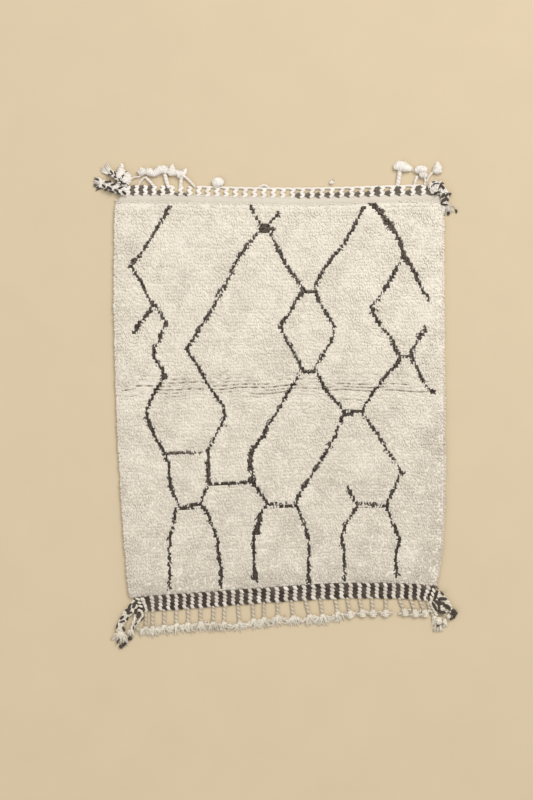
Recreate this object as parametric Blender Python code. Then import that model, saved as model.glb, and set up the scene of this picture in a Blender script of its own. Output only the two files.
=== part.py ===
"""Hand-knotted wool rug with a short pile, twined end bands, knotted fringes and plaited corners.

The rug lies flat and face up. Units are metres, +Z is up and +Y points to the rug's top end.
The origin is the centre of the pile's flat underside, so everything rests on the plane z = 0."""

import math
import random
from collections import namedtuple

import bmesh
import bpy
import numpy as np
from mathutils import Vector

NAME = "beni_ourain_rug"
UP = Vector((0, 0, 1))
SEED = 7

# Driving dimensions
JOIN_GAP = 0.0004  # between neighbouring pieces
PILE_HEIGHT = 0.020
PILE_LUMP = 0.0022  # how far the pile's top rises and falls
RIM_HEIGHT = 0.013  # the pile rolls down to this at its sides
RIM_ROLL = 0.024  # width of that roll
ROW_PITCH = 0.034  # of the pile's modelled rows and columns
ROW_PITCH_AT_CREASE = 0.010
RIM_SWELL = (0.0008, 0.0020)  # the rim stands out by this between the pile's rows
LOCK_REACH = (0.003, 0.008)  # how far the pile's side locks stand out
LOCK_RISE = (0.004, 0.009)  # height of their tips
FLAT_STRIP = 0.025  # flat-woven strip at the top end
FLAT_STRIP_HEIGHT = 0.007
CORNER_PULL = 0.010  # how far the top corners are drawn in
CREASE_DEPTH = 0.0055
CREASE_WIDTH = 0.011
CREASE_WAVE = 0.003
CREASE_MARGIN = 0.020  # of close rows on each side of the crease
STRIP_STEP = 0.004  # the pile ends this far before the flat-woven strip
BAND_VALLEY = 0.0062  # height of the twined bands between their rows
BAND_RIDGE = 0.0085
BOTTOM_BAND_DEPTH = 0.043
BOTTOM_BAND_ENDS = (-0.4415, 0.4775)
TWINED_ROWS = 4
TOP_BAND_DEPTH = 0.029
TOP_BAND_ENDS = (-0.4775, 0.4580)
BAR_COUNT = 32
BAR_FIRST = -0.469
BAR_PITCH = 0.02665
BAR_STRETCH = 0.0000923  # the pitch grows to the right
BAR_WIDTH = 0.0125
BAR_ZIGZAG = 0.0014
CORD_WANDER = 0.0015  # sideways swing of a cord's bend
CORD_WIDTH = 0.0090
CORD_HEIGHT = 0.0085
KNOT_WIDTH = 0.019
KNOT_LENGTH = 0.010
KNOT_HEIGHT = 0.014
TUFT_HEIGHT = 0.0075
TUFT_HALF_WIDTH = 0.017
TUFT_CLEARANCE = 0.0030  # between neighbouring tufts
LOCKS_IN_A_TUFT = 5
FRAY_SHARE = 0.36  # of a top knot's width, to each side
KNOT_SHARE = 0.6  # a wide knot's height, as a share of its width
KNOT_HEIGHT_LIMIT = 0.022

Side = namedtuple("Side", "y left right")
End = namedtuple("End", "x bottom top")
Gaps = namedtuple("Gaps", "first last filled")
Cord = namedtuple("Cord", "x length slant tuft")
Head = namedtuple("Head", "bar neck_x neck_y x y width length locks fray lean")
BandLine = namedtuple("BandLine", "across swing height")
Fray = namedtuple("Fray", "locks length spread")
Station = namedtuple("Station", "x y width height")
Colour = namedtuple("Colour", "red green blue")
Swell = namedtuple("Swell", "along width height")
CreaseLine = namedtuple("CreaseLine", "y depth")

CREAM = Colour(0.83, 0.78, 0.68)
MIXED = Colour(0.42, 0.38, 0.34)  # black and white wool together
ROUGHNESS = 0.95

# The pile's outline: its sides lean in towards the bottom, and its bottom edge climbs to the right.
SIDES = (
    Side(y=0.604, left=-0.505, right=0.504),
    Side(y=0.400, left=-0.509, right=0.507),
    Side(y=0.190, left=-0.511, right=0.508),
    Side(y=0.000, left=-0.503, right=0.509),
    Side(y=-0.335, left=-0.488, right=0.511),
    Side(y=-0.490, left=-0.477, right=0.504),
    Side(y=-0.620, left=-0.464, right=0.488),
)
ENDS = (
    End(x=-0.460, bottom=-0.638, top=0.609),
    End(x=-0.293, bottom=-0.628, top=0.608),
    End(x=-0.160, bottom=-0.617, top=0.604),
    End(x=0.000, bottom=-0.604, top=0.599),
    End(x=0.129, bottom=-0.600, top=0.603),
    End(x=0.265, bottom=-0.594, top=0.606),
    End(x=0.398, bottom=-0.596, top=0.608),
    End(x=0.482, bottom=-0.604, top=0.611),
)

# Soft troughs of the fold across the middle
CREASE = (
    CreaseLine(y=0.030, depth=0.35),
    CreaseLine(y=-0.002, depth=1.00),
    CreaseLine(y=-0.026, depth=0.40),
)

# How much of each gap between the top band's bars is filled, from the bottom
GAPS = (
    Gaps(first=0, last=4, filled=1.0),
    Gaps(first=5, last=7, filled=0.3),
    Gaps(first=8, last=17, filled=0.0),
    Gaps(first=18, last=25, filled=0.5),
    Gaps(first=26, last=26, filled=1.0),
    Gaps(first=27, last=27, filled=0.5),
    Gaps(first=28, last=28, filled=1.0),
    Gaps(first=29, last=29, filled=0.5),
    Gaps(first=30, last=30, filled=1.0),
)

# Lines across the top band, from its lower rail to its upper cord, and how the bars swing there
TOP_BAND_LINES = (
    BandLine(across=0.00, swing=0, height=BAND_VALLEY),
    BandLine(across=0.10, swing=0, height=BAND_VALLEY),
    BandLine(across=0.30, swing=1, height=BAND_RIDGE),
    BandLine(across=0.50, swing=-1, height=BAND_RIDGE),
    BandLine(across=0.86, swing=0, height=BAND_VALLEY),
    BandLine(across=1.00, swing=0, height=BAND_VALLEY),
)

# Cords of the bottom fringe: root, length down to the knot, sideways slant, and the tuft's length
CORDS = (
    Cord(x=-0.395, length=0.047, slant=0.000, tuft=0.021),
    Cord(x=-0.358, length=0.045, slant=0.000, tuft=0.022),
    Cord(x=-0.319, length=0.043, slant=0.000, tuft=0.023),
    Cord(x=-0.284, length=0.043, slant=0.000, tuft=0.023),
    Cord(x=-0.244, length=0.042, slant=0.000, tuft=0.023),
    Cord(x=-0.206, length=0.046, slant=0.000, tuft=0.020),
    Cord(x=-0.169, length=0.049, slant=-0.002, tuft=0.020),
    Cord(x=-0.129, length=0.051, slant=0.005, tuft=0.021),
    Cord(x=-0.084, length=0.046, slant=0.003, tuft=0.022),
    Cord(x=-0.048, length=0.044, slant=0.000, tuft=0.023),
    Cord(x=-0.008, length=0.040, slant=0.002, tuft=0.025),
    Cord(x=0.036, length=0.044, slant=0.006, tuft=0.022),
    Cord(x=0.078, length=0.044, slant=0.013, tuft=0.022),
    Cord(x=0.124, length=0.046, slant=0.008, tuft=0.023),
    Cord(x=0.171, length=0.040, slant=0.008, tuft=0.021),
    Cord(x=0.209, length=0.039, slant=0.008, tuft=0.019),
    Cord(x=0.247, length=0.036, slant=0.008, tuft=0.018),
    Cord(x=0.285, length=0.036, slant=0.004, tuft=0.018),
    Cord(x=0.327, length=0.036, slant=0.002, tuft=0.018),
    Cord(x=0.370, length=0.032, slant=0.014, tuft=0.017),
    Cord(x=0.404, length=0.034, slant=0.013, tuft=0.017),
    Cord(x=0.434, length=0.032, slant=0.014, tuft=0.018),
    Cord(x=0.465, length=0.048, slant=0.021, tuft=0.029),
)

# Cords of the top fringe: the bar each grows from, its neck, and its knotted or frayed head.
# A head's locks reach as far as its fray, and lean is how far they swing to the right.
HEADS = (
    Head(1, -0.430, 0.658, -0.428, 0.681, 0.020, 0.016, 3, 0.004, 0.000),
    Head(3, -0.399, 0.660, -0.402, 0.681, 0.021, 0.016, 3, 0.004, 0.000),
    Head(5, -0.351, 0.664, -0.361, 0.680, 0.034, 0.020, 3, 0.016, 0.016),
    Head(6, -0.304, 0.658, -0.307, 0.676, 0.023, 0.016, 3, 0.012, 0.004),
    Head(8, -0.272, 0.650, -0.283, 0.662, 0.010, 0.008, 2, 0.003, 0.000),
    Head(10, -0.190, 0.640, -0.189, 0.650, 0.030, 0.020, 3, 0.005, 0.000),
    Head(15, -0.048, 0.630, -0.048, 0.635, 0.026, 0.008, 2, 0.003, 0.000),
    Head(22, 0.163, 0.642, 0.161, 0.649, 0.013, 0.010, 2, 0.006, 0.000),
    Head(28, 0.373, 0.672, 0.380, 0.695, 0.054, 0.026, 3, 0.005, 0.000),
    Head(30, 0.422, 0.657, 0.432, 0.680, 0.034, 0.026, 3, 0.005, 0.000),
    Head(31, 0.458, 0.664, 0.484, 0.691, 0.030, 0.022, 2, 0.010, 0.002),
)

# Widths and heights along a knot, as shares of the whole
KNOT = (
    Swell(along=0.0, width=0.62, height=0.70),
    Swell(along=0.4, width=1.00, height=1.00),
    Swell(along=0.8, width=0.88, height=0.90),
    Swell(along=1.0, width=0.60, height=0.62),
)

# Plaited corners: stations from the band's end outwards
TOP_LEFT_PLAIT = (
    Station(-0.520, 0.6320, 0.031, 0.021),
    Station(-0.534, 0.6400, 0.022, 0.016),
    Station(-0.548, 0.6420, 0.031, 0.021),
    Station(-0.560, 0.6480, 0.021, 0.016),
)
TOP_LEFT_TAIL = (
    Station(-0.486, 0.650, 0.026, 0.017),
    Station(-0.484, 0.664, 0.035, 0.020),
    Station(-0.488, 0.676, 0.032, 0.018),
)
TOP_LEFT_BRANCHES = (
    (Station(-0.514, 0.679, 0.019, 0.015), Station(-0.537, 0.690, 0.017, 0.014)),
    (Station(-0.487, 0.690, 0.013, 0.013), Station(-0.486, 0.703, 0.006, 0.007)),
)
TOP_RIGHT_TAIL = (
    Station(0.5215, 0.6260, 0.028, 0.020),
    Station(0.5300, 0.6130, 0.023, 0.016),
    Station(0.5315, 0.6000, 0.029, 0.021),
    Station(0.5305, 0.5880, 0.021, 0.016),
    Station(0.5305, 0.5770, 0.028, 0.019),
)
BOTTOM_LEFT_PLAIT = (
    Station(-0.455, -0.6630, 0.043, 0.020),
    Station(-0.466, -0.6740, 0.032, 0.016),
    Station(-0.477, -0.6860, 0.042, 0.022),
    Station(-0.482, -0.7010, 0.029, 0.016),
    Station(-0.492, -0.7170, 0.039, 0.022),
    Station(-0.489, -0.7330, 0.026, 0.016),
    Station(-0.495, -0.7490, 0.036, 0.022),
    Station(-0.492, -0.7630, 0.024, 0.016),
)
BOTTOM_LEFT_TAIL = (
    Station(-0.4440, -0.703, 0.012, 0.010),
    Station(-0.4560, -0.721, 0.012, 0.011),
    Station(-0.4600, -0.745, 0.016, 0.013),
)
BOTTOM_RIGHT_PLAIT = (
    Station(0.494, -0.6280, 0.041, 0.020),
    Station(0.505, -0.6400, 0.032, 0.016),
    Station(0.517, -0.6500, 0.041, 0.022),
    Station(0.525, -0.6630, 0.029, 0.016),
    Station(0.535, -0.6700, 0.036, 0.021),
)
ROOT_BLOCK = (0.030, 0.030, 0.018)  # knot between a top corner's plait and the band
ROOT_LIFT_LEFT = 0.0015  # of that knot above the pile's edge
ROOT_LIFT_RIGHT = 0.0025
ROOT_STRIP = 0.004  # between a bottom corner's plait and the band
ROOT_INSET = 0.003  # that strip is this much less deep than the band
TOP_RIGHT_TURN = Station(0.012, -0.001, 0.032, 0.021)  # first station, from the root knot's side

# Frayed ends of the corners' plaits and tails
TOP_LEFT_FRAY = Fray(locks=4, length=0.020, spread=0.014)
TOP_LEFT_TAIL_FRAY = Fray(locks=3, length=0.022, spread=0.011)
TOP_RIGHT_FRAY = Fray(locks=5, length=0.034, spread=0.014)
BOTTOM_CORNER_FRAY = Fray(locks=4, length=0.022, spread=0.016)
BOTTOM_LEFT_TAIL_FRAY = Fray(locks=2, length=0.010, spread=0.006)


def smooth_line(rows, along, value):
    """A smooth curve through two columns of a table."""
    at = [getattr(row, along) for row in rows]
    values = [getattr(row, value) for row in rows]
    return np.poly1d(np.polyfit(at, values, 4))


left_edge = smooth_line(SIDES, "y", "left")
right_edge = smooth_line(SIDES, "y", "right")
bottom_edge = smooth_line(ENDS, "x", "bottom")
top_edge = smooth_line(ENDS, "x", "top")


def bar_x(number):
    """Middle of one of the top band's bars."""
    return BAR_FIRST + BAR_PITCH * number + BAR_STRETCH * number**2


def level(point):
    """The point of the floor below a point."""
    return Vector((point[0], point[1], 0))


def grid(columns, rows):
    """A flat sheet of faces, with each corner's column and row number as its x and y."""
    bm = bmesh.new()
    bmesh.ops.create_grid(bm, x_segments=columns, y_segments=rows, size=0.5)
    for corner in bm.verts:
        corner.co = Vector((round((corner.co.x + 0.5) * columns), round((corner.co.y + 0.5) * rows), 0))
    return bm


def close_below(bm):
    """Wall a sheet in down to the floor and give it one flat underside."""
    rim = [edge for edge in bm.edges if edge.is_boundary]
    made = bmesh.ops.extrude_edge_only(bm, edges=rim)["geom"]
    for corner in (item for item in made if isinstance(item, bmesh.types.BMVert)):
        corner.co.z = 0
    bmesh.ops.holes_fill(bm, edges=[edge for edge in bm.edges if edge.is_boundary], sides=0)
    bmesh.ops.recalc_face_normals(bm, faces=bm.faces)


def copy_below(bm):
    """Wall in a sheet that has holes, with a copy of itself on the floor as its underside."""
    made = bmesh.ops.extrude_face_region(bm, geom=bm.faces[:])["geom"]
    for corner in (item for item in made if isinstance(item, bmesh.types.BMVert)):
        corner.co.z = 0
    bmesh.ops.recalc_face_normals(bm, faces=bm.faces)


def face_near(bm, point):
    """The face whose middle is nearest to a point."""
    return min(bm.faces, key=lambda face: (face.calc_center_median() - point).length)


def set_section(face, centre, side, width, height):
    """Move a face's four corners to a strand's section, which stands on the floor at centre."""
    outline = ((-0.5, 0.0), (-0.34, 1.0), (0.34, 1.0), (0.5, 0.0))
    places = [centre + side * (across * width) + UP * (rise * height) for across, rise in outline]
    turns = [places[turn:] + places[:turn] for turn in range(len(places))]
    corners = list(face.verts)

    def distance(turn):
        return sum((corner.co - place).length for corner, place in zip(corners, turn))

    for corner, place in zip(corners, min(turns, key=distance)):
        corner.co = place


def grow(bm, face, stations):
    """Draw a face out into a strand through the stations, and give its end face and direction."""
    points = [level(face.calc_center_median())]
    points += [Vector((station.x, station.y, 0)) for station in stations]
    points.append(points[-1] * 2 - points[-2])
    for number, station in enumerate(stations, start=1):
        forward = (points[number + 1] - points[number - 1]).normalized()
        face = bmesh.ops.extrude_discrete_faces(bm, faces=[face])["faces"][0]
        set_section(face, points[number], forward.cross(UP), station.width, station.height)
    return face, forward


def knot_stations(start, forward, width, length, height):
    """Stations of a round knot that begins at start."""
    stations = []
    for swell in KNOT:
        point = start + forward * (length * swell.along)
        stations.append(Station(point.x, point.y, width * swell.width, height * swell.height))
    return stations


def split(bm, face, side, count):
    """Cut a section face into upright strips, in order along side."""
    offsets = [side.dot(corner.co) for corner in face.verts]
    low, high = min(offsets), max(offsets)
    strips = [face]
    for number in range(1, count):
        cut = side * (low + (high - low) * number / count)
        items = set(strips)
        for strip in strips:
            items.update(strip.edges)
            items.update(strip.verts)
        made = bmesh.ops.bisect_plane(bm, geom=list(items), plane_co=cut, plane_no=side, dist=1e-6)
        strips = [item for item in made["geom"] if isinstance(item, bmesh.types.BMFace)]
    return sorted(strips, key=lambda strip: side.dot(strip.calc_center_median()))


def fray(bm, face, forward, cut, chance, lean=0.0):
    """Split a strand's end into locks that fan out and stand apart but for their roots."""
    side = forward.cross(UP)
    offsets = [side.dot(corner.co) for corner in face.verts]
    root_pitch = (max(offsets) - min(offsets)) / cut.locks
    tip_pitch = 2 * cut.spread / (cut.locks - 1)
    centre = level(face.calc_center_median())
    for number, strip in enumerate(split(bm, face, side, cut.locks)):
        swing = 2 * number / (cut.locks - 1) - 1
        reach = cut.length * (1 - 0.25 * abs(swing)) * chance.uniform(0.88, 1.0)
        root = level(strip.calc_center_median())
        tip = centre + forward * reach + side * (swing * cut.spread + lean)
        middle = root.lerp(tip, 0.5)
        rise = TUFT_HEIGHT * chance.uniform(0.8, 1.1)
        stations = (
            Station(middle.x, middle.y, 0.40 * (root_pitch + tip_pitch), rise),
            Station(tip.x, tip.y, 0.40 * tip_pitch, rise * 0.5),
        )
        grow(bm, strip, stations)


def add_object(name, bm, colour, collection, parent):
    """Make a named object with its own material from a finished mesh."""
    mesh = bpy.data.meshes.new(name)
    bm.to_mesh(mesh)
    bm.free()
    material = bpy.data.materials.new(name + "_wool")
    material.use_nodes = True
    shader = material.node_tree.nodes["Principled BSDF"]
    shader.inputs["Base Color"].default_value = (*colour, 1.0)
    shader.inputs["Roughness"].default_value = ROUGHNESS
    shader.inputs["Metallic"].default_value = 0.0
    mesh.materials.append(material)
    thing = bpy.data.objects.new(name, mesh)
    thing.parent = parent
    collection.objects.link(thing)


def even_rows(low, high, pitch):
    """Evenly spaced places from low to high, about a pitch apart."""
    return np.linspace(low, high, round((high - low) / pitch) + 1)


def pile_rows():
    """Heights up the rug of the pile's modelled rows, close together at the crease and the strip."""
    low = ENDS[0].bottom
    high = SIDES[0].y
    crease_low = CREASE[-1].y - CREASE_MARGIN
    crease_high = CREASE[0].y + CREASE_MARGIN
    strip_low = high - FLAT_STRIP
    lower = even_rows(low, crease_low, ROW_PITCH)
    creased = even_rows(crease_low, crease_high, ROW_PITCH_AT_CREASE)
    upper = even_rows(crease_high, strip_low - STRIP_STEP, ROW_PITCH)
    places = np.concatenate([lower, creased[1:], upper[1:], [strip_low, high]])
    return (places - low) / (high - low)


def pile_height(x, y, chance):
    """Height of the pile's top, with its lumps and the crease's troughs."""
    wave = CREASE_WAVE * math.sin(9 * x) + 0.4 * CREASE_WAVE * math.sin(31 * x + 1)
    trough = sum(
        line.depth * math.exp(-(((y - line.y - wave) / CREASE_WIDTH) ** 2)) for line in CREASE
    )
    return PILE_HEIGHT + chance.uniform(-PILE_LUMP, PILE_LUMP) - CREASE_DEPTH * min(1.0, trough)


def runs_up(edge):
    """Whether an edge runs up the rug more than across it."""
    run = edge.verts[1].co - edge.verts[0].co
    return abs(run.y) > abs(run.x)


def looks_sideways(face):
    """Whether a face looks out to the left or the right."""
    return abs(face.normal.x) > 0.8


def make_pile(chance):
    """The knotted pile and its ground cloth: a lumpy slab with locks along its sides."""
    rows = pile_rows()
    low, high = ENDS[0].bottom, SIDES[0].y
    columns = round((SIDES[0].right - SIDES[0].left) / ROW_PITCH)
    bm = grid(columns, len(rows) - 1)
    strip_row = len(rows) - 2
    for corner in bm.verts:
        column, row = round(corner.co.x), round(corner.co.y)
        share = rows[row]
        y = low + share * (high - low)
        pull = CORNER_PULL * max(0.0, 1 - (high - y) / ROW_PITCH) ** 2
        left, right = left_edge(y) + pull, right_edge(y) - pull
        x = left + (right - left) * column / columns
        y = bottom_edge(x) + share * (top_edge(x) - bottom_edge(x))
        inset = min(x - left, right - x)
        height = pile_height(x, y, chance)
        height -= (PILE_HEIGHT - RIM_HEIGHT) * max(0.0, 1 - inset / RIM_ROLL)
        if row >= strip_row:
            height = FLAT_STRIP_HEIGHT
        corner.co = Vector((x, y, height))
    sides = [edge for edge in bm.edges if edge.is_boundary and runs_up(edge)]
    made = bmesh.ops.subdivide_edges(bm, edges=sides, cuts=1)["geom_inner"]
    for corner in (item for item in made if isinstance(item, bmesh.types.BMVert)):
        corner.co.x += math.copysign(chance.uniform(*RIM_SWELL), corner.co.x)
    close_below(bm)
    walls = [face for face in bm.faces if looks_sideways(face)]
    walls = [face for face in walls if face.calc_center_median().y < high - FLAT_STRIP]
    tips = bmesh.ops.poke(bm, faces=walls, offset=0.0)["verts"]
    for tip in tips:
        tip.co.x += math.copysign(chance.uniform(*LOCK_REACH), tip.co.x)
        tip.co.z = chance.uniform(*LOCK_RISE)
    return bm


def make_bottom_band(chance):
    """The twined band at the bottom end, with the cords and tufts of its fringe."""
    lines = [BOTTOM_BAND_ENDS[0], BOTTOM_BAND_ENDS[1]]
    tail_root = BOTTOM_BAND_ENDS[0] + CORD_WIDTH
    roots = [tail_root] + [cord.x for cord in CORDS]
    for root in roots:
        lines += [root - CORD_WIDTH / 2, root + CORD_WIDTH / 2]
    lines.sort()
    rows = 2 * TWINED_ROWS
    bm = grid(len(lines) - 1, rows)
    for corner in bm.verts:
        x, row = lines[round(corner.co.x)], round(corner.co.y)
        y = bottom_edge(x) - JOIN_GAP - BOTTOM_BAND_DEPTH * (1 - row / rows)
        corner.co = Vector((x, y, BAND_RIDGE if row % 2 else BAND_VALLEY))
    close_below(bm)

    def lower_edge(x):
        return bottom_edge(x) - JOIN_GAP - BOTTOM_BAND_DEPTH

    knots = [cord.x + cord.slant for cord in CORDS]
    for number, cord in enumerate(CORDS):
        root = Vector((cord.x, lower_edge(cord.x), 0))
        start = root + Vector((cord.slant, -cord.length, 0))
        bend = root.lerp(start, 0.5) + Vector((chance.uniform(-CORD_WANDER, CORD_WANDER), 0, 0))
        forward = (start - root).normalized()
        face = face_near(bm, root + UP * (BAND_VALLEY / 2))
        stations = [Station(bend.x, bend.y, CORD_WIDTH, CORD_HEIGHT)]
        stations += knot_stations(start, forward, KNOT_WIDTH, KNOT_LENGTH, KNOT_HEIGHT)
        face, forward = grow(bm, face, stations)
        beside = knots[max(0, number - 1) : number] + knots[number + 1 : number + 2]
        nearest = min(abs(knot - knots[number]) for knot in beside)
        spread = min(TUFT_HALF_WIDTH, nearest / 2 - TUFT_CLEARANCE)
        fray(bm, face, Vector((0, -1, 0)), Fray(LOCKS_IN_A_TUFT, cord.tuft, spread), chance)
    face = face_near(bm, Vector((tail_root, lower_edge(tail_root), BAND_VALLEY / 2)))
    face, forward = grow(bm, face, BOTTOM_LEFT_TAIL)
    fray(bm, face, forward, BOTTOM_LEFT_TAIL_FRAY, chance)
    return bm


def make_top_band(chance):
    """The ladder of wrapped bars at the top end, with its open gaps and the knotted cords."""
    lines = [TOP_BAND_ENDS[0]]
    for number in range(BAR_COUNT):
        lines += [bar_x(number) - BAR_WIDTH / 2, bar_x(number) + BAR_WIDTH / 2]
    lines.append(TOP_BAND_ENDS[1])
    rows = len(TOP_BAND_LINES) - 1
    bm = grid(len(lines) - 1, rows)
    open_faces = []
    for face in bm.faces:
        middle = face.calc_center_median()
        column, row = math.floor(middle.x), math.floor(middle.y)
        gap, is_gap = column // 2 - 1, column % 2 == 0
        for gaps in GAPS:
            if is_gap and gaps.first <= gap <= gaps.last:
                above = TOP_BAND_LINES[row].across >= max(gaps.filled, TOP_BAND_LINES[1].across)
                if above and row < rows - 1:
                    open_faces.append(face)
    bmesh.ops.delete(bm, geom=open_faces, context="FACES")
    last = len(lines) - 1
    for corner in bm.verts:
        column, row = round(corner.co.x), round(corner.co.y)
        x, line = lines[column], TOP_BAND_LINES[row]
        y = top_edge(x) + JOIN_GAP + TOP_BAND_DEPTH * line.across
        if 0 < column < last:
            x += BAR_ZIGZAG * line.swing
        corner.co = Vector((x, y, line.height))
    copy_below(bm)
    for head in HEADS:
        x = bar_x(head.bar)
        root = Vector((x, top_edge(x) + JOIN_GAP + TOP_BAND_DEPTH, 0))
        neck = Vector((head.neck_x, head.neck_y, 0))
        centre = Vector((head.x, head.y, 0))
        forward = (centre - neck).normalized()
        start = centre - forward * (head.length / 2)
        height = max(KNOT_HEIGHT, min(KNOT_HEIGHT_LIMIT, head.width * KNOT_SHARE))
        bend = root.lerp(neck, 0.5)
        stations = [Station(bend.x, bend.y, CORD_WIDTH, CORD_HEIGHT)]
        if (start - neck).dot(forward) > 0.002:
            stations.append(Station(neck.x, neck.y, CORD_WIDTH, CORD_HEIGHT))
        stations += knot_stations(start, forward, head.width, head.length, height)
        face, forward = grow(bm, face_near(bm, root + UP * (BAND_VALLEY / 2)), stations)
        cut = Fray(head.locks, head.fray, head.width * FRAY_SHARE)
        fray(bm, face, forward, cut, chance, head.lean)
    return bm


def block(centre, size):
    """A small block that stands on the floor."""
    bm = bmesh.new()
    bmesh.ops.create_cube(bm, size=1.0)
    bmesh.ops.scale(bm, vec=Vector(size), verts=bm.verts)
    bmesh.ops.translate(bm, vec=Vector((centre[0], centre[1], size[2] / 2)), verts=bm.verts)
    return bm


def root_knot(end_x, outwards, lift):
    """A top corner's root knot beside the band's end, and the middle of its underside."""
    width, depth, height = ROOT_BLOCK
    x = end_x + outwards * (JOIN_GAP + width / 2)
    centre = Vector((x, top_edge(end_x) + lift + depth / 2, 0))
    return block(centre, ROOT_BLOCK), centre


def make_top_left(chance):
    """Root knot, black and white plait, and the white tail above it."""
    width, depth, height = ROOT_BLOCK
    bm, centre = root_knot(TOP_BAND_ENDS[0], -1, ROOT_LIFT_LEFT)
    upper = face_near(bm, centre + Vector((0, depth / 2, height / 2)))
    outer = face_near(bm, centre + Vector((-width / 2, 0, height / 2)))
    face, forward = grow(bm, outer, TOP_LEFT_PLAIT)
    fray(bm, face, forward, TOP_LEFT_FRAY, chance)
    face, forward = grow(bm, upper, TOP_LEFT_TAIL)
    strips = split(bm, face, forward.cross(UP), 2)
    face, forward = grow(bm, strips[0], TOP_LEFT_BRANCHES[0])
    fray(bm, face, forward, TOP_LEFT_TAIL_FRAY, chance)
    grow(bm, strips[1], TOP_LEFT_BRANCHES[1])
    return bm


def make_top_right(chance):
    """Root knot and the plait that turns down beside the pile's corner."""
    width, depth, height = ROOT_BLOCK
    bm, centre = root_knot(TOP_BAND_ENDS[1], 1, ROOT_LIFT_RIGHT)
    side = centre + Vector((width / 2, 0, 0))
    outer = face_near(bm, side + UP * (height / 2))
    turn = TOP_RIGHT_TURN._replace(x=side.x + TOP_RIGHT_TURN.x, y=side.y + TOP_RIGHT_TURN.y)
    face, forward = grow(bm, outer, (turn, *TOP_RIGHT_TAIL))
    fray(bm, face, forward, TOP_RIGHT_FRAY, chance)
    return bm


def make_bottom_corner(end_x, outwards, plait, chance):
    """A plait that carries on from one end of the bottom band."""
    y = bottom_edge(end_x) - JOIN_GAP - BOTTOM_BAND_DEPTH / 2
    root = (ROOT_STRIP, BOTTOM_BAND_DEPTH - ROOT_INSET, BAND_RIDGE)
    centre = Vector((end_x + outwards * (JOIN_GAP + root[0] / 2), y, 0))
    bm = block(centre, root)
    outer = face_near(bm, centre + Vector((outwards * root[0] / 2, 0, root[2] / 2)))
    face, forward = grow(bm, outer, plait)
    fray(bm, face, forward, BOTTOM_CORNER_FRAY, chance)
    return bm


def main():
    for thing in list(bpy.data.objects):
        bpy.data.objects.remove(thing, do_unlink=True)
    collection = bpy.data.collections.new(NAME)
    bpy.context.scene.collection.children.link(collection)
    carrier = bpy.data.objects.new(NAME, None)
    collection.objects.link(carrier)
    chance = random.Random(SEED)
    low_left, low_right = BOTTOM_BAND_ENDS
    pieces = (
        ("rug_pile", make_pile(chance), CREAM),
        ("bottom_band", make_bottom_band(chance), MIXED),
        ("top_band", make_top_band(chance), MIXED),
        ("corner_tassel_top_left", make_top_left(chance), MIXED),
        ("corner_tassel_top_right", make_top_right(chance), MIXED),
        ("corner_tassel_bottom_left", make_bottom_corner(low_left, -1, BOTTOM_LEFT_PLAIT, chance), MIXED),
        ("corner_tassel_bottom_right", make_bottom_corner(low_right, 1, BOTTOM_RIGHT_PLAIT, chance), MIXED),
    )
    for name, bm, colour in pieces:
        add_object(name, bm, colour, collection, carrier)


main()
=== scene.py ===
import math
from collections import namedtuple

import bpy
import numpy as np
from bpy.props import FloatProperty, FloatVectorProperty, IntProperty, PointerProperty
from bpy.types import Operator, Panel, PropertyGroup
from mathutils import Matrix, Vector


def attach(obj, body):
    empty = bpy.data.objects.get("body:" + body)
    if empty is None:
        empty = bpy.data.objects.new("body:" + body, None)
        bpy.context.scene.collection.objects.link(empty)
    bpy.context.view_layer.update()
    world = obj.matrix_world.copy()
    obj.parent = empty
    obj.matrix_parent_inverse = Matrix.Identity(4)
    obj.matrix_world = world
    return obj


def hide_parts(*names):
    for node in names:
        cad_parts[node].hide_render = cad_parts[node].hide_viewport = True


bl_info = {
    "name": "Knotted wool rug",
    "version": (1, 0, 0),
    "blender": (4, 5, 0),
    "location": "3D View > Sidebar > Rug",
    "description": "Dresses a hand-knotted rug: pile, dark lines, twined bands, fringes and plaited corners",
    "category": "Object",
}

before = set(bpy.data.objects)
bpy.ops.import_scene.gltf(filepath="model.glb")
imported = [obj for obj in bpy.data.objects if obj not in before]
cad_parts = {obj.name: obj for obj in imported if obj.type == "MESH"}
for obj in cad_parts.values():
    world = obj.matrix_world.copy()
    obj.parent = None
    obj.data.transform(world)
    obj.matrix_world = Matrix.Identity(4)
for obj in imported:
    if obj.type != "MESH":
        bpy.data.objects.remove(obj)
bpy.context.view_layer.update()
BODY = "root"
UP = np.array((0.0, 0.0, 1.0))

Side = namedtuple("Side", "y left right")
End = namedtuple("End", "x bottom top")
Gaps = namedtuple("Gaps", "first last low high")
Line = namedtuple("Line", "half_width tone points")
Cord = namedtuple("Cord", "x length slant tuft style")
Socket = namedtuple("Socket", "name kind default")
Stripe = namedtuple("Stripe", "x share")

# The pile's outline, as its frame has it
SIDES = (
    Side(y=0.604, left=-0.505, right=0.504),
    Side(y=0.400, left=-0.509, right=0.507),
    Side(y=0.190, left=-0.511, right=0.508),
    Side(y=0.000, left=-0.503, right=0.509),
    Side(y=-0.335, left=-0.488, right=0.511),
    Side(y=-0.490, left=-0.477, right=0.504),
    Side(y=-0.620, left=-0.464, right=0.488),
)
ENDS = (
    End(x=-0.460, bottom=-0.638, top=0.609),
    End(x=-0.293, bottom=-0.628, top=0.608),
    End(x=-0.160, bottom=-0.617, top=0.604),
    End(x=0.000, bottom=-0.604, top=0.599),
    End(x=0.129, bottom=-0.600, top=0.603),
    End(x=0.265, bottom=-0.594, top=0.606),
    End(x=0.398, bottom=-0.596, top=0.608),
    End(x=0.482, bottom=-0.604, top=0.611),
)
JOIN_GAP = 0.0004  # between the pile and its bands
CORNER_PULL = 0.015  # how far the sides draw in at the top corners
CORNER_REACH = 0.034  # and how far down
LEAST_HEIGHT = 0.0002  # no yarn lies lower than this above the floor
ROLL = 0.024  # width of the roll along the pile's sides
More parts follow.
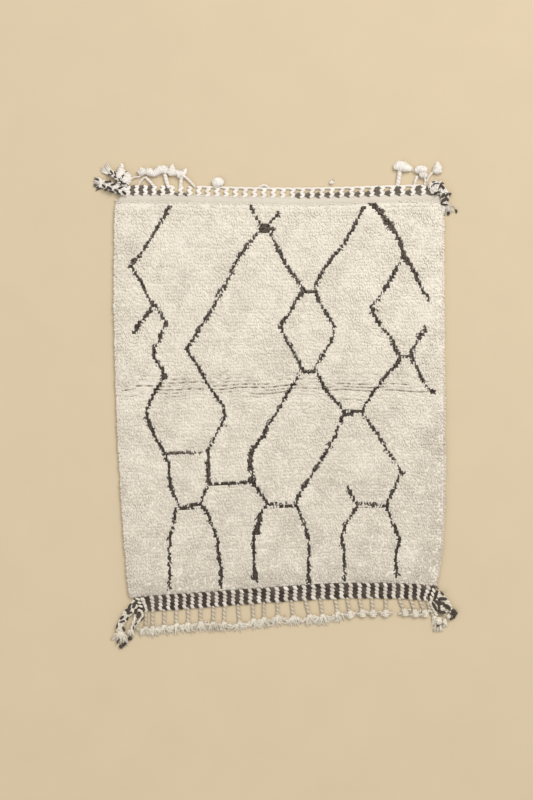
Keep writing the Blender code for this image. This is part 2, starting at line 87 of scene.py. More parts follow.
KNOT_SPLIT = 0.25  # how far a knot's two ends stand from its middle, as a share of its width
COVER = 0.0027  # how far the yarn ends stand above the dense wool
STRIP_SLOPE, STRIP_DROP = 0.020, 0.0025  # over how far, and how much, the dense wool drops to the strip
STRIP_TONE, GROUND_TONE = 0.75, 0.30
WARP_PITCH = 0.006
FIBRES = 44  # stray fibres on each ball of wool
FIBRE_RADIUS = (0.00045, 0.00030)
CROSSING_HEIGHT = 9  # in millimetres, as the tassels' other sizes are
CROSSING_BELOW = 4  # height of the same stitch on the tassel's underside
LOOP_WIDTH = 0.008  # of the cord that is looped over the corners' knots
PLIES = (0.0, 0.5)  # where the two plies of a cord start, as shares of a turn
PLAIT_STRANDS = 3
PLAIT_PITCH = 0.040
PLAIT_YARN_PITCH = 0.0165
STITCH_SAG = 0.6  # how far a stitch's ends tuck down, as a share of half its height
DRIFT_WAVES = 7

# Grooves of the fold across the middle: by the line between two rows of knots that each lies on, counted up
# from the fold's own, with its left end, its right end and its depth
FOLD_Y = -0.0080
GROOVES = {
    5: ((-0.440, -0.350, 0.30), (-0.210, -0.100, 0.30), (0.030, 0.110, 0.30)),
    4: ((-0.470, -0.400, 0.45), (-0.370, -0.285, 0.55), (-0.180, -0.080, 0.35), (0.270, 0.400, 0.40)),
    3: ((-0.385, -0.200, 0.60), (-0.190, -0.060, 0.50), (-0.020, 0.150, 0.45), (0.290, 0.370, 0.45)),
    2: (
        (-0.455, -0.335, 0.95), (-0.215, -0.030, 0.80), (0.090, 0.150, 0.60), (0.175, 0.240, 0.40),
        (0.420, 0.480, 0.40),
    ),
    1: (
        (-0.492, -0.445, 1.00), (-0.405, -0.225, 0.95), (-0.212, 0.060, 1.00), (0.105, 0.160, 0.60),
        (0.165, 0.285, 0.95), (0.295, 0.415, 0.75),
    ),
    0: (
        (-0.400, -0.290, 0.70), (-0.200, -0.120, 0.60), (-0.060, 0.170, 0.80), (0.185, 0.340, 0.85),
        (0.360, 0.420, 0.45),
    ),
    -1: (
        (-0.490, -0.430, 0.50), (-0.355, -0.280, 0.70), (-0.100, 0.040, 1.00), (0.060, 0.120, 0.45),
        (0.130, 0.300, 0.90), (0.310, 0.480, 0.95),
    ),
    -2: ((-0.340, -0.270, 0.40), (-0.130, -0.055, 0.55), (0.020, 0.120, 0.45)),
    -3: ((-0.420, -0.340, 0.40),),
    -4: ((0.170, 0.260, 0.50),),
}
GROOVE_TAPER = 0.012  # over which a groove fades at each end
GROOVE_SHARE = 0.70  # of its depth that is left as a rule, with waves along it: size, pace and turn by line
GROOVE_WAVES = ((0.28, 190, 5), (0.26, 523, 1))
NO_GROOVE = 99
FOLD_WARP_AND_SHADE = 0.80  # share of brown in the deepest groove: partly the warp showing, partly painted shade
FOLD_WAVES = ((0.0030, 9.5, 0.6), (0.0022, 41.0, 0.0))  # size, pace and start of its waves across the rug
FOLD_REACH = 0.055

# The dark lines, charted one by one: half the width in millimetres, the wool's tone, and the places in whole
# centimetres from the pile's centre, about one knot to a centimetre
LINE_SWELL = (0.90, 0.34)  # usual share of a line's width, and how far it wanders
KNOT_SPREAD = 0.4  # how far a dark knot's yarn spreads past its line, in millimetres
BACK_SPREAD = 0.0005  # how much further the lines reach on the ground
CHART = (
    Line(6.5, 0.3, ((-34, 57), (-37, 52), (-40, 47), (-43, 42), (-46, 39), (-43, 34), (-40, 28), (-39, 27))),
    Line(7.2, 0.3, ((-39, 27), (-41, 24), (-44, 20), (-45, 18))),
    Line(5.5, 0.3, ((-39, 27), (-38, 26), (-35, 21), (-36, 19), (-39, 12), (-39, 11), (-35, 5), (-38, 1))),
    Line(6.8, 0.4, ((-39, 14), (-39, 11))),
    Line(6.8, 0.4, ((-36, 7), (-36, 4))),
    Line(6.8, 0.4, ((-41, -5), (-41, -8))),
    Line(6.0, 0.3, (
        (-38, 1), (-40, -3), (-41, -6), (-41, -8), (-38, -15), (-35, -20), (-34, -24), (-34, -29), (-31, -35),
    )),
    Line(3.6, 1.2, ((-35, -19), (-23, -19))),
    Line(5.3, 0.3, ((-22, -29), (-8, -28))),
    Line(6.0, 0.2, ((-31, -36), (-24, -35))),
    Line(6.8, 0.3, ((-27, -35), (-24, -35))),
    Line(5.7, 0.3, ((-4, -35), (5, -35))),
    Line(5.4, 0.3, ((7, 6), (11, 6))),
    Line(6.5, 0.3, ((20, -6), (26, -6))),
    Line(8.0, 0.3, ((20, -7), (22, -7))),
    Line(8.0, 0.3, ((25, -6), (26, -7))),
    Line(6.5, 0.7, ((37, 11), (41, 11))),
    Line(5.7, 0.3, ((24, -35), (33, -35))),
    Line(5.5, 0.3, ((-9, 57), (-6, 52), (-4, 51))),
    Line(4.8, 0.3, ((0, 56), (-1, 54), (-3, 52), (-4, 51))),
    Line(9.5, 0.6, ((-6, 50), (-2, 50))),
    Line(5.6, 0.4, ((-4, 51), (-8, 48), (-13, 41), (-18, 30), (-23, 22), (-25, 19), (-28, 14), (-29, 13))),
    Line(7.0, 0.4, ((-8, 48), (-9, 46))),
    Line(7.0, 0.4, ((-18, 32), (-19, 30))),
    Line(4.9, 0.3, ((-29, 13), (-26, 9), (-22, 2), (-17, -5), (-17, -8), (-20, -14), (-22, -18), (-22, -24))),
    Line(5.5, 0.3, ((-22, -24), (-22, -29), (-24, -33), (-24, -35))),
    Line(7.5, 0.6, ((-22, -20), (-22, -28))),
    Line(8.0, 0.7, ((-9, -19), (-9, -24))),
    Line(6.5, 0.4, ((-4, -11), (-5, -14))),
    Line(7.0, 0.4, ((-8, -17), (-9, -19))),
    Line(7.0, 0.4, ((-9, -27), (-8, -29))),
    Line(4.9, 0.3, ((6, 5), (2, -1), (-2, -8), (-8, -18), (-9, -21), (-8, -28), (-4, -34))),
    Line(5.0, 0.4, ((-3, 49), (-1, 45), (2, 39), (7, 32), (9, 31), (11, 31))),
    Line(8.0, 0.9, ((7, 31), (11, 31))),
    Line(5.5, 0.3, ((11, 33), (14, 38), (17, 42), (20, 46), (23, 51), (26, 57))),
    Line(5.5, 0.3, ((9, 31), (6, 30), (3, 24), (0, 20), (2, 16), (5, 11), (7, 7))),
    Line(6.8, 0.4, ((7, 30), (5, 28))),
    Line(6.8, 0.4, ((4, 26), (3, 24))),
    Line(7.5, 0.4, ((0, 20), (1, 19))),
    Line(7.5, 0.4, ((11, 31), (12, 28))),
    Line(5.5, 0.3, ((11, 31), (12, 28), (17, 20), (17, 18), (14, 12), (11, 8), (11, 6))),
    Line(5.0, 0.3, ((12, 5), (14, 1), (20, -6))),
    Line(5.0, 0.3, ((26, -5), (29, 0), (33, 5), (37, 10))),
    Line(7.5, 0.4, ((35, 7), (37, 10))),
    Line(5.3, 0.3, ((20, -7), (19, -9), (16, -16), (11, -24), (7, -30), (5, -34))),
    Line(7.0, 0.4, ((12, -22), (11, -24))),
    Line(6.8, 0.4, ((10, -26), (7, -30))),
    Line(6.5, 0.3, ((30, -13), (31, -15))),
    Line(7.0, 0.3, ((37, -24), (38, -25))),
    Line(5.0, 0.3, ((26, -8), (28, -10), (32, -16), (35, -21), (38, -25), (37, -26), (35, -31), (33, -34))),
    Line(6.0, 0.3, ((21, -30), (24, -35))),
    Line(8.0, 0.5, ((29, 58), (31, 56), (33, 53), (35, 51), (37, 47), (38, 43), (39, 41))),
    Line(10.0, 0.9, ((31, 56), (33, 53))),
    Line(8.5, 0.4, ((28, 58), (30, 57))),
    Line(9.0, 0.4, ((33, 52), (36, 49))),
    Line(7.5, 0.5, ((38, 41), (39, 41), (42, 36))),
    Line(7.5, 0.5, ((28, 26), (29, 25))),
    Line(5.0, 0.3, (
        (37, 40), (34, 34), (30, 28), (28, 26), (30, 22), (32, 19), (35, 16), (36, 13), (37, 12),
    )),
    Line(7.5, 0.4, ((36, 13), (37, 11))),
    Line(5.5, 0.3, ((41, 37), (42, 35), (43, 33), (46, 29), (46, 28))),
    Line(6.8, 0.4, ((44, 31), (46, 29))),
    Line(4.4, 0.3, ((45, 20), (45, 19), (43, 16), (41, 13))),
    Line(8.0, 0.6, ((44, 18), (43, 17))),
    Line(5.0, 0.3, ((41, 13), (41, 11), (42, 8), (45, 2), (47, 0))),
    Line(6.5, 0.4, ((47, 0), (48, 0))),
    Line(7.5, 0.5, ((41, 10), (41, 9))),
    Line(5.5, 0.3, ((-32, -36), (-33, -42), (-34, -45), (-34, -54), (-34, -58), (-34, -61))),
    Line(5.5, 0.3, ((-24, -35), (-22, -38), (-21, -41), (-19, -46), (-19, -50), (-18, -55), (-18, -60))),
    Line(8.0, 0.4, ((-18, -56), (-18, -59))),
    Line(5.5, 0.3, ((-4, -35), (-6, -38), (-7, -41), (-8, -45), (-8, -50), (-8, -58))),
    Line(7.5, 0.5, ((-6, -39), (-7, -44))),
    Line(8.0, 0.4, ((-8, -53), (-7, -58))),
    Line(5.5, 0.3, ((5, -35), (7, -40), (9, -44), (9, -49), (9, -54), (9, -59))),
    Line(7.5, 0.4, ((8, -42), (9, -46))),
    Line(5.5, 0.3, ((24, -35), (23, -37), (21, -40), (19, -45), (20, -49), (20, -53), (20, -58))),
    Line(5.5, 0.3, ((33, -35), (34, -38), (36, -43), (37, -46), (36, -50), (36, -57))),
)

# Which rows of dark stitches fill the gaps between the top band's bars: from one bar to another, and from one
# row up to another
GAPS = (
    Gaps(0, 2, 0, 4), Gaps(3, 3, 0, 2), Gaps(4, 4, 1, 4), Gaps(5, 6, 0, 1), Gaps(18, 25, 0, 2),
    Gaps(26, 26, 0, 4), Gaps(27, 27, 0, 2), Gaps(28, 28, 0, 4), Gaps(29, 29, 0, 2), Gaps(30, 31, 0, 4),
)
BARS = 32
BAR_FIRST = -0.469  # middle of the first bar
BAR_STEP = 0.02665  # from one bar to the next, with a little more for each bar
BAR_GROWTH = 0.0000923
WRAPS = 4  # stitches up each bar
RAIL_LEFT, RAIL_RIGHT = -0.4775, 0.458  # ends of the cord between the ground and the bars
FIRST_ARC = 8  # the bar where the cord of arcs starts that joins the tops of the bars


def cords(style, rows):
    """Several cords of the bottom fringe whose tufts lie in the same way."""
    return [Cord(*row, style) for row in rows]


# Cords of the bottom fringe: root, length to the knot, slant and tuft's length
CORDS = (
    *cords("ruffle", (
        (-0.424, 0.046, 0.000, 0.020), (-0.395, 0.047, 0.000, 0.021), (-0.358, 0.045, 0.000, 0.022),
        (-0.319, 0.043, 0.000, 0.023), (-0.284, 0.043, 0.000, 0.023), (-0.244, 0.042, 0.000, 0.023),
        (-0.206, 0.046, 0.000, 0.020), (-0.169, 0.049, -0.002, 0.020),
    )),
    *cords("fan", (
        (-0.129, 0.051, 0.005, 0.021), (-0.084, 0.046, 0.003, 0.022), (-0.048, 0.044, 0.000, 0.023),
        (-0.008, 0.040, 0.002, 0.025), (0.036, 0.044, 0.006, 0.022), (0.078, 0.044, 0.013, 0.022),
        (0.124, 0.046, 0.008, 0.023), (0.171, 0.040, 0.008, 0.021),
    )),
    *cords("ball", (
        (0.209, 0.039, 0.008, 0.019), (0.247, 0.036, 0.008, 0.018), (0.285, 0.036, 0.004, 0.018),
        (0.327, 0.036, 0.002, 0.018), (0.370, 0.032, 0.014, 0.017), (0.404, 0.034, 0.013, 0.017),
        (0.434, 0.032, 0.014, 0.018),
    )),
    *cords("tail", (
        (0.465, 0.048, 0.021, 0.029),
    )),
)

# Width of the bottom band's stripe pairs at some places, as a share of the usual width
STRIPES = (
    Stripe(x=-0.430, share=0.90),
    Stripe(x=-0.200, share=0.93),
    Stripe(x=-0.100, share=1.01),
    Stripe(x=0.150, share=1.08),
    Stripe(x=0.270, share=0.98),
    Stripe(x=0.380, share=0.96),
    Stripe(x=0.460, share=0.86),
)
BAND_LEFT, BAND_RIGHT = -0.4367, 0.4775
# Where the bottom band's ends start to turn towards the tassels, over how far, and how far they turn
Turn = namedtuple("Turn", "start reach angle")
LEFT_TURN = Turn(start=-0.385, reach=0.056, angle=math.radians(38))
RIGHT_TURN = Turn(start=0.425, reach=0.052, angle=math.radians(34))
BAND_SLANT = math.radians(-28)  # of its stitches
BAND_OVERLAP = 1.10  # the twined rows reach this far up the bottom band's depth, on to the pile's rim
BAND_RISE = 0.0075  # how much higher the last row lies than the others
LOW_RIM = 0.012  # how far from its bottom end the pile starts to drop
LOW_DROP = 0.0075
BAND_STITCH = UP * 0.0052  # height of the middle of both bands' stitches
BAND_EDGE = UP * 0.0135  # height of the dark cord along the bottom band, against the pile: partly a dark yarn row, partly painted shadow under the pile's edge
WRAP_SLANT, FILLING_SLANT = math.radians(24), math.radians(22)
WRAP_SWING = 0.0012  # how far a bar's stitches stand from side to side
WRAP_LENGTH, WRAP_HEIGHT = 0.0155, 0.0085
FILLING_LEVEL, FILLING_HEIGHT = UP * 0.0048, 0.0072
TWINED_HEIGHT = 0.0084
BAR_CORE = 0.0075  # width of a bar that the dark stitches leave free

# How the pile's yarn ends lie
FIRST_ROWS = 0.014  # depth of the rows that droop over the bottom end
LAST_ROWS = 0.024  # depth of the rows that lean over on to the flat strip
FOLD_CALM = 0.034  # within about this of the fold, the ends lean less
SIDE_LEAN, STRIP_LEAN = 0.0068, 0.0065  # how far they lean out over the sides, and on to the strip
ACROSS_STRAY, DOWN_STRAY = 0.0012, 0.0017  # how far their roots stray from the rows
PALE_STRAY, DARK_STRAY = 0.0021, 0.0044  # how far the ends of each wool stray from where they lean
ABOVE_ROW = 0.004  # how far up from their row the ends stand, as they lie down it
ROOT_PARTING, TIP_PARTING = 0.0016, 0.0012  # how far the ends on both sides of a groove part
RAGGED = 0.0011  # how ragged the dark lines' edges are
LEAST_TIP = 0.002  # no tip lies lower than this
# Points along an end: share of its reach, how far below the pile's top, and share of its droop
END_POINTS = ((0.0, 0.0070, 0.0), (0.20, 0.0016, 0.0), (0.76, 0.0013, 0.35), (1.14, 0.0024, 1.0))
END_SHADE_REACH = 0.080  # how far up from the bottom end painted shade deepens the cream
RIGHT_SHADE_START, RIGHT_FADE = 0.400, 0.090  # from where to the right painted shade deepens it too, and over how far it sets in
SHADE_BELOW, BELOW_FADE = 0.050, 0.200  # and below where

# How each kind of tuft spreads, how much longer than its cord's table says it is, and how its strands curl
Tuft = namedtuple("Tuft", "fan more width strands tone curl height yarn turn")
TUFTS = {
    "ruffle": Tuft(1.20, 0.010, 0.030, strands=32, tone=0.16, curl=3.2, height=0.014, yarn=0.0020, turn=0.0),
    "fan": Tuft(0.85, 0.010, 0.028, strands=28, tone=0.06, curl=2.2, height=0.014, yarn=0.0021, turn=0.0),
    "ball": Tuft(1.10, -0.001, 0.026, strands=34, tone=0.10, curl=3.4, height=0.018, yarn=0.0021, turn=0.0),
    "tail": Tuft(0.35, 0.004, 0.013, strands=16, tone=0.08, curl=0.4, height=0.010, yarn=0.0019, turn=-0.1),
}
CORD_LEVEL = UP * 0.0046  # height of the bottom fringe's cords
CORD_PITCH = 0.0125
KNOT_WIDTH = 0.018  # of the knot near the end of each cord
KNOT_LENGTH = 0.011
KNOT_HEIGHT = 0.0135
KNOT_TURNS = 2.6
KNOT_END = 0.007  # from where a knot starts to where its tuft leaves it
KNOT_LEVEL = UP * 0.0070

Lamp = namedtuple("Lamp", "name place size power")
LAMPS = (
    Lamp(name="key", place=(2.4, 3.6, 6.4), size=4.2, power=360.0),
    Lamp(name="fill", place=(-3.2, -3.0, 5.4), size=4.5, power=70.0),
)
AMBIENT = 0.50  # strength of the room's even light
FLOOR_REACH = 18.0
FLOOR_LEVEL = -0.0004
DAYLIGHT = (1.0, 0.985, 0.96, 1.0)
LAMPLIGHT = (1.0, 0.98, 0.95)
VIEW_CENTRE = (-0.0403, -0.0248)
VIEW_DISTANCE = 5.0
VIEW_HEIGHT = 2.48  # metres from the top to the bottom of the picture, 3.1 mm to each of its 800 rows
SENSOR = 36.0  # millimetres

# Parts of the top fringe and the tassels. Their places and sizes are millimetres in the rug's frame,
# and their slants, headings and fans are degrees
Plait = namedtuple("Plait", "yarns height widths path")
Crossing = namedtuple("Crossing", "yarns x y z slant length width")
Twist = namedtuple("Twist", "yarns width pitch tones path")
Ball = namedtuple("Ball", "yarns yarn height widths path")
Frayed = namedtuple("Frayed", "yarns heading fan length width strands curl height yarn root")
Loops = namedtuple("Loops", "yarns loops width height centre")
# Tones of a cord's two plies. Where both plies are of one wool, the second one's deeper tone is painted shade
# that marks the twist
SOFT_PLY_SHADE, CLEAR_PLY_SHADE = (0.05, 0.25), (0.05, 0.50)


def fringe_cord(width, *path):
    """A cord of the top fringe."""
    return Twist("white", width, 11, CLEAR_PLY_SHADE, path)


def fringe_ball(height, widths, *path):
    """A ball or cone of the top fringe."""
    return Ball("white", 2.1, height, widths, path)


def crossings(yarns, rows):
    """Several crossing stitches of one wool."""
    return [Crossing(yarns, *row) for row in rows]


TOP_FRINGE = (
    fringe_cord(7, (-439, 636, 4), (-429, 653, 8), (-418, 665, 8)),
    fringe_cord(9, (-384, 632, 4), (-398, 648, 8), (-415, 665, 8)),
    fringe_cord(6, (-460, 657, 4), (-449, 665, 8), (-436, 666, 8), (-426, 673, 8)),
    fringe_ball(21, (12, 23, 26, 23, 12), (-437, 678, 10), (-426, 682, 10), (-414, 679, 10)),
    fringe_ball(21, (12, 24, 26, 22, 13), (-413, 678, 10), (-402, 681, 10), (-390, 674, 10)),
    fringe_ball(
        22, (14, 21, 26, 27, 18),
        (-395, 672, 11), (-380, 680, 11), (-364, 689, 11), (-346, 684, 11),
    ),
    fringe_ball(22, (28, 29, 24, 15, 5), (-338, 674, 11), (-333, 688, 11), (-331, 704, 11)),
    fringe_ball(18, (16, 22, 22, 16), (-333, 676, 9), (-320, 680, 9), (-308, 675, 9)),
    fringe_ball(21, (18, 27, 23, 15, 6), (-315, 673, 10), (-303, 673, 10), (-294, 681, 10), (-288, 690, 10)),
    fringe_cord(13, (-354, 673, 8), (-350, 654, 8), (-343, 632, 4)),
    fringe_cord(12, (-303, 666, 8), (-305, 651, 8), (-307, 632, 4)),
    fringe_cord(9, (-296, 668, 8), (-281, 656, 8), (-262, 636, 4)),
    fringe_ball(21, (14, 30, 33, 27, 14), (-204, 640, 10), (-192, 650, 10), (-175, 645, 10)),
    Twist("white", 5, 11, (0.8, 1.0), ((-177, 643, 8), (-170, 648, 8), (-168, 655, 4))),
    fringe_cord(8, (-62, 632, 4), (-54, 639, 8), (-42, 639, 8), (-33, 632, 4)),
    fringe_ball(11, (7, 12, 12, 7), (156, 647, 6), (161, 650, 6), (167, 647, 6)),
    Twist("white", 3, 11, (0.9, 1.0), ((160, 653, 4), (163, 658, 4), (168, 658, 4))),
    fringe_cord(15, (366, 639, 4), (369, 657, 8), (372, 682, 8)),
    fringe_ball(
        21, (14, 30, 34, 32, 24, 12),
        (354, 696, 10), (367, 699, 10), (383, 698, 10), (397, 693, 10), (408, 689, 10),
    ),
    fringe_cord(4, (406, 691, 8), (414, 686, 8), (422, 679, 8)),
    fringe_ball(20, (16, 24, 25, 24, 16), (421, 684, 10), (437, 690, 10), (455, 686, 10)),
    fringe_ball(19, (14, 21, 22, 14), (434, 670, 10), (445, 672, 10), (454, 666, 10)),
    fringe_cord(10, (418, 639, 4), (421, 654, 8), (426, 668, 8)),
    fringe_cord(8, (450, 642, 4), (452, 654, 8), (446, 668, 8)),
    fringe_cord(8, (457, 654, 4), (462, 666, 8), (476, 684, 8)),
    fringe_ball(21, (31, 32, 26, 15, 4), (488, 680, 10), (489, 693, 10), (490, 713, 10)),
)

TASSELS = {
    "bottom_left": (
        Plait("white", 19, (30, 34, 32, 29, 27, 28, 32), (
            (-444, -657, 10), (-455, -667, 10), (-466, -679, 10), (-479, -697, 10),
            (-489, -716, 10), (-493, -738, 10), (-491, -757, 10),
        )),
        Twist("white", 9, 20, SOFT_PLY_SHADE, ((-470, -668, 8), (-461, -656, 11), (-449, -646, 12), (-436, -649, 9))),
        *crossings("dark", (
            (-450, -660, 17, 70, 18, 13), (-443, -648, 19, 55, 18, 8), (-463, -661, 19, 60, 16, 8),
        )),
        *crossings("white", (
            (-438, -640, 18, -20, 13, 7), (-434, -651, 16, -20, 13, 7), (-430, -662, 14, -20, 13, 7),
        )),
        *crossings("dark", (
            (-444, -677, 17, 75, 17, 11), (-468, -673, 17, 35, 20, 13), (-464, -683, 17, 20, 16, 9),
            (-487, -697, 17, 50, 16, 9), (-470, -700, 17, 60, 10, 7), (-485, -709, 17, 15, 18, 7),
            (-502, -724, 15, 80, 15, 6), (-482, -732, 17, 114, 16, 7),
        )),
        Frayed("white", -97, 27, 34, 32, 22, 0.6, 17, 2.4, (-492, -748)),
        Crossing("dark", -500, -771, 15, 70, 11, 6),
        Twist("dark", 12, 20, SOFT_PLY_SHADE, ((-476, -777, 9), (-485, -784, 9), (-494, -790, 7))),
        Frayed("dark", -144, 12, 8, 10, 7, 0.3, 11, 2.1, (-489, -787)),
        Frayed("white", -78, 12, 18, 8, 6, 0.4, 10, 2.0, (-481, -774)),
        Twist("white", 9, 16, SOFT_PLY_SHADE, (
            (-447, -699, 7), (-446, -684, 12), (-436, -674, 14),
            (-425, -681, 12), (-424, -694, 9), (-432, -705, 7),
        )),
        *crossings("dark", (
            (-436, -690, 12, 75, 19, 11), (-425, -703, 11, 50, 8, 5),
        )),
        Twist("white", 12, 30, SOFT_PLY_SHADE, ((-446, -699, 8), (-452, -712, 8), (-455, -726, 8), (-460, -742, 7))),
        Twist("white", 9, 22, SOFT_PLY_SHADE, ((-431, -705, 7), (-441, -716, 9), (-450, -729, 9), (-457, -742, 7))),
        *crossings("dark", (
            (-444, -717, 13, 50, 9, 5), (-451, -729, 13, 90, 9, 5),
        )),
        Frayed("white", -105, 25, 22, 14, 12, 0.5, 10, 1.9, (-459, -737)),
        Ball("dark", 2.1, 13, (6, 13, 12, 6), ((-463, -757, 7), (-461, -768, 7))),
    ),
    "bottom_right": (
        Plait("white", 16, (20, 26, 26, 24, 18), (
            (489, -622, 9), (501, -634, 10), (513, -649, 10), (523, -664, 10), (530, -679, 10),
        )),
        Plait("white", 15, (22, 27, 26, 24, 18), (
            (472, -637, 8), (482, -650, 9), (493, -662, 9), (504, -673, 9), (516, -684, 9),
        )),
        *crossings("dark", (
            (505, -639, 17, -4, 24, 11), (503, -623, 17, -45, 12, 7),
        )),
        *crossings("white", (
            (476, -613, 18, -62, 13, 8), (473, -625, 17, -62, 13, 8), (469, -637, 15, -62, 13, 8),
        )),
        *crossings("dark", (
            (519, -664, 17, -38, 22, 13), (491, -651, 17, -24, 25, 11), (483, -631, 16, 68, 34, 8),
            (479, -663, 15, -62, 30, 9), (493, -666, 16, -76, 24, 8), (503, -681, 15, -6, 21, 11),
            (508, -655, 17, -66, 16, 7),
        )),
        Ball("dark", 2.1, 18, (8, 15, 19, 12), ((527, -673, 10), (538, -679, 10), (546, -690, 9))),
        Twist("dark", 8, 18, SOFT_PLY_SHADE, ((544, -690, 9), (539, -699, 9), (528, -703, 8))),
        Ball("white", 2.1, 15, (8, 15, 15, 8), ((518, -691, 9), (528, -696, 9))),
        Twist("white", 11, 20, SOFT_PLY_SHADE, ((466, -648, 9), (475, -668, 10), (487, -691, 9))),
        Ball("white", 2.1, 17, (14, 22, 23, 14), ((493, -698, 9), (493, -718, 9))),
        Crossing("dark", 490, -723, 13, 0, 8, 5),
        Frayed("white", -98, 24, 27, 14, 14, 0.4, 11, 1.9, (491, -722)),
        Ball("white", 2.1, 14, (9, 15, 13, 7), ((511, -703, 8), (514, -721, 7))),
        Frayed("white", -86, 20, 13, 10, 9, 0.5, 10, 2.0, (513, -718)),
    ),
    "top_left": (
        Plait("white", 19, (30, 31, 30, 27), (
            (-471, 618, 10), (-490, 623, 10), (-513, 633, 10), (-538, 641, 10), (-556, 645, 10),
        )),
        *crossings("dark", (
            (-480, 615, 19, -40, 15, 8), (-491, 631, 19, 20, 14, 7), (-504, 622, 19, -35, 15, 8),
            (-514, 641, 19, 15, 14, 7), (-526, 630, 19, -30, 16, 8), (-532, 649, 19, 0, 16, 7),
            (-543, 636, 19, -45, 13, 7), (-497, 613, 17, -20, 12, 5), (-520, 620, 17, -15, 12, 5),
            (-536, 626, 18, 30, 9, 5), (-523, 651, 17, -60, 9, 5),
        )),
        Frayed("white", 166, 26, 26, 18, 14, 0.5, 14, 2.0, (-550, 649)),
        Frayed("dark", 175, 20, 32, 12, 12, 0.4, 10, 1.9, (-545, 638)),
        Frayed("dark", 146, 9, 18, 5, 4, 0.3, 9, 1.8, (-559, 654)),
        Ball("white", 2.6, 21, (22, 40, 48, 44, 30), ((-468, 643, 10), (-484, 663, 10), (-496, 680, 10))),
        Ball("white", 2.4, 18, (26, 22, 16, 8), ((-491, 680, 10), (-489, 693, 10), (-488, 705, 10))),
        Loops("white white white dark", 9, 46, 9, (-480, 659, 12)),
        Twist("white dark", 10, 22, SOFT_PLY_SHADE, (
            (-467, 645, 10), (-479, 643, 16), (-494, 648, 16), (-507, 657, 10),
        )),
        Plait("white", 16, (24, 23, 20), ((-496, 662, 10), (-511, 671, 10), (-528, 681, 9))),
        *crossings("dark", (
            (-507, 664, 15, 150, 13, 6), (-508, 676, 15, 110, 10, 5), (-519, 679, 15, 130, 13, 6),
            (-525, 672, 14, 170, 10, 5),
        )),
        Frayed("white", 140, 21, 34, 16, 18, 0.4, 12, 2.0, (-524, 679)),
    ),
    "top_right": (
        Ball("white", 2.6, 20, (22, 38, 40, 30), ((464, 629, 10), (482, 635, 10), (504, 631, 10))),
        Loops("white dark white", 10, 42, 9, (484, 632, 12)),
        Twist("white dark", 10, 18, SOFT_PLY_SHADE, ((488, 646, 12), (502, 645, 17), (507, 631, 16), (498, 620, 10))),
        Twist("white dark", 8, 16, SOFT_PLY_SHADE, ((465, 643, 10), (476, 649, 15), (488, 643, 16))),
        Plait("white", 19, (28, 31, 28, 22), (
            (491, 631, 10), (505, 624, 10), (511, 608, 10), (511, 592, 10), (510, 577, 10),
        )),
        *crossings("dark", (
            (487, 619, 19, 35, 20, 13), (502, 635, 20, -45, 19, 10), (505, 607, 19, 60, 15, 10),
            (516, 608, 19, 40, 13, 8), (508, 593, 19, 30, 16, 11), (517, 596, 18, -50, 14, 9),
            (525, 612, 13, 10, 12, 8), (502, 586, 15, 70, 9, 6),
        )),
        Frayed("white", -84, 24, 38, 22, 22, 0.4, 15, 2.1, (512, 583)),
        Crossing("dark", 510, 579, 15, -5, 21, 7),
        Frayed("dark", -95, 17, 10, 5, 5, 0.3, 11, 1.8, (507, 554)),
        Frayed("dark", -66, 17, 11, 5, 5, 0.3, 11, 1.8, (521, 557)),
        Twist("white", 3, 8, (0.6, 0.9), ((515, 573, 6), (528, 575, 4), (540, 576, 3), (547, 565, 3))),
        Ball("dark", 1.0, 6, (2, 6, 7, 3), ((546, 567, 3), (549, 555, 3))),
    ),
}


def linear(red, green, blue):
    """A screen colour, each channel from 0 to 255, as linear light."""
    channels = []
    for value in (red, green, blue):
        share = value / 255
        channels.append(share / 12.92 if share <= 0.04045 else ((share + 0.055) / 1.055) ** 2.4)
    return tuple(channels)


def length_property(name, description, default):
    """A length that can be set in the scene."""
    return FloatProperty(name=name, description=description, default=default, unit="LENGTH")


def colour_property(name, description, *screen):
    """A colour that can be set in the scene, given as a screen colour."""
    return FloatVectorProperty(
        name=name, description=description, subtype="COLOR", size=3, default=linear(*screen)
    )


class RugSizes(PropertyGroup):
    """Sizes of the rug's yarns and bands."""

    pile_height: length_property("Pile height", "From the floor to the tips", 0.0205)
    rim_height: length_property("Rim height", "Of the pile where it rolls down at its sides", 0.013)
    knot_row: length_property("Knot row", "From one row of knots to the next", 0.0102)
    knot_width: length_property("Knot width", "Along a row of knots", 0.0088)
    yarn_end: length_property("Yarn end", "Radius of one cut end of pile yarn", 0.0031)
    lay: length_property("Lay", "How far the tips lean down the rug", 0.0085)
    fold_depth: length_property("Fold depth", "Of the grooves across the middle", 0.0085)
    cloth: length_property("Ground cloth", "Thickness of the woven ground", 0.0045)
    flat_strip: length_property("Flat strip", "Depth of the flat-woven strip at the top", 0.022)
    low_band: length_property("Bottom band", "Depth of the bottom band", 0.043)
    top_band: length_property("Top band", "Depth of the top band", 0.029)
    stripe: length_property("Stripe pair", "Usual width of one dark and one white stripe", 0.027)
    twined_rows: IntProperty(name="Twined rows", description="In the bottom band", default=4, min=1)
    cord_width: length_property("Cord width", "Of the fringe's twisted cords", 0.0115)


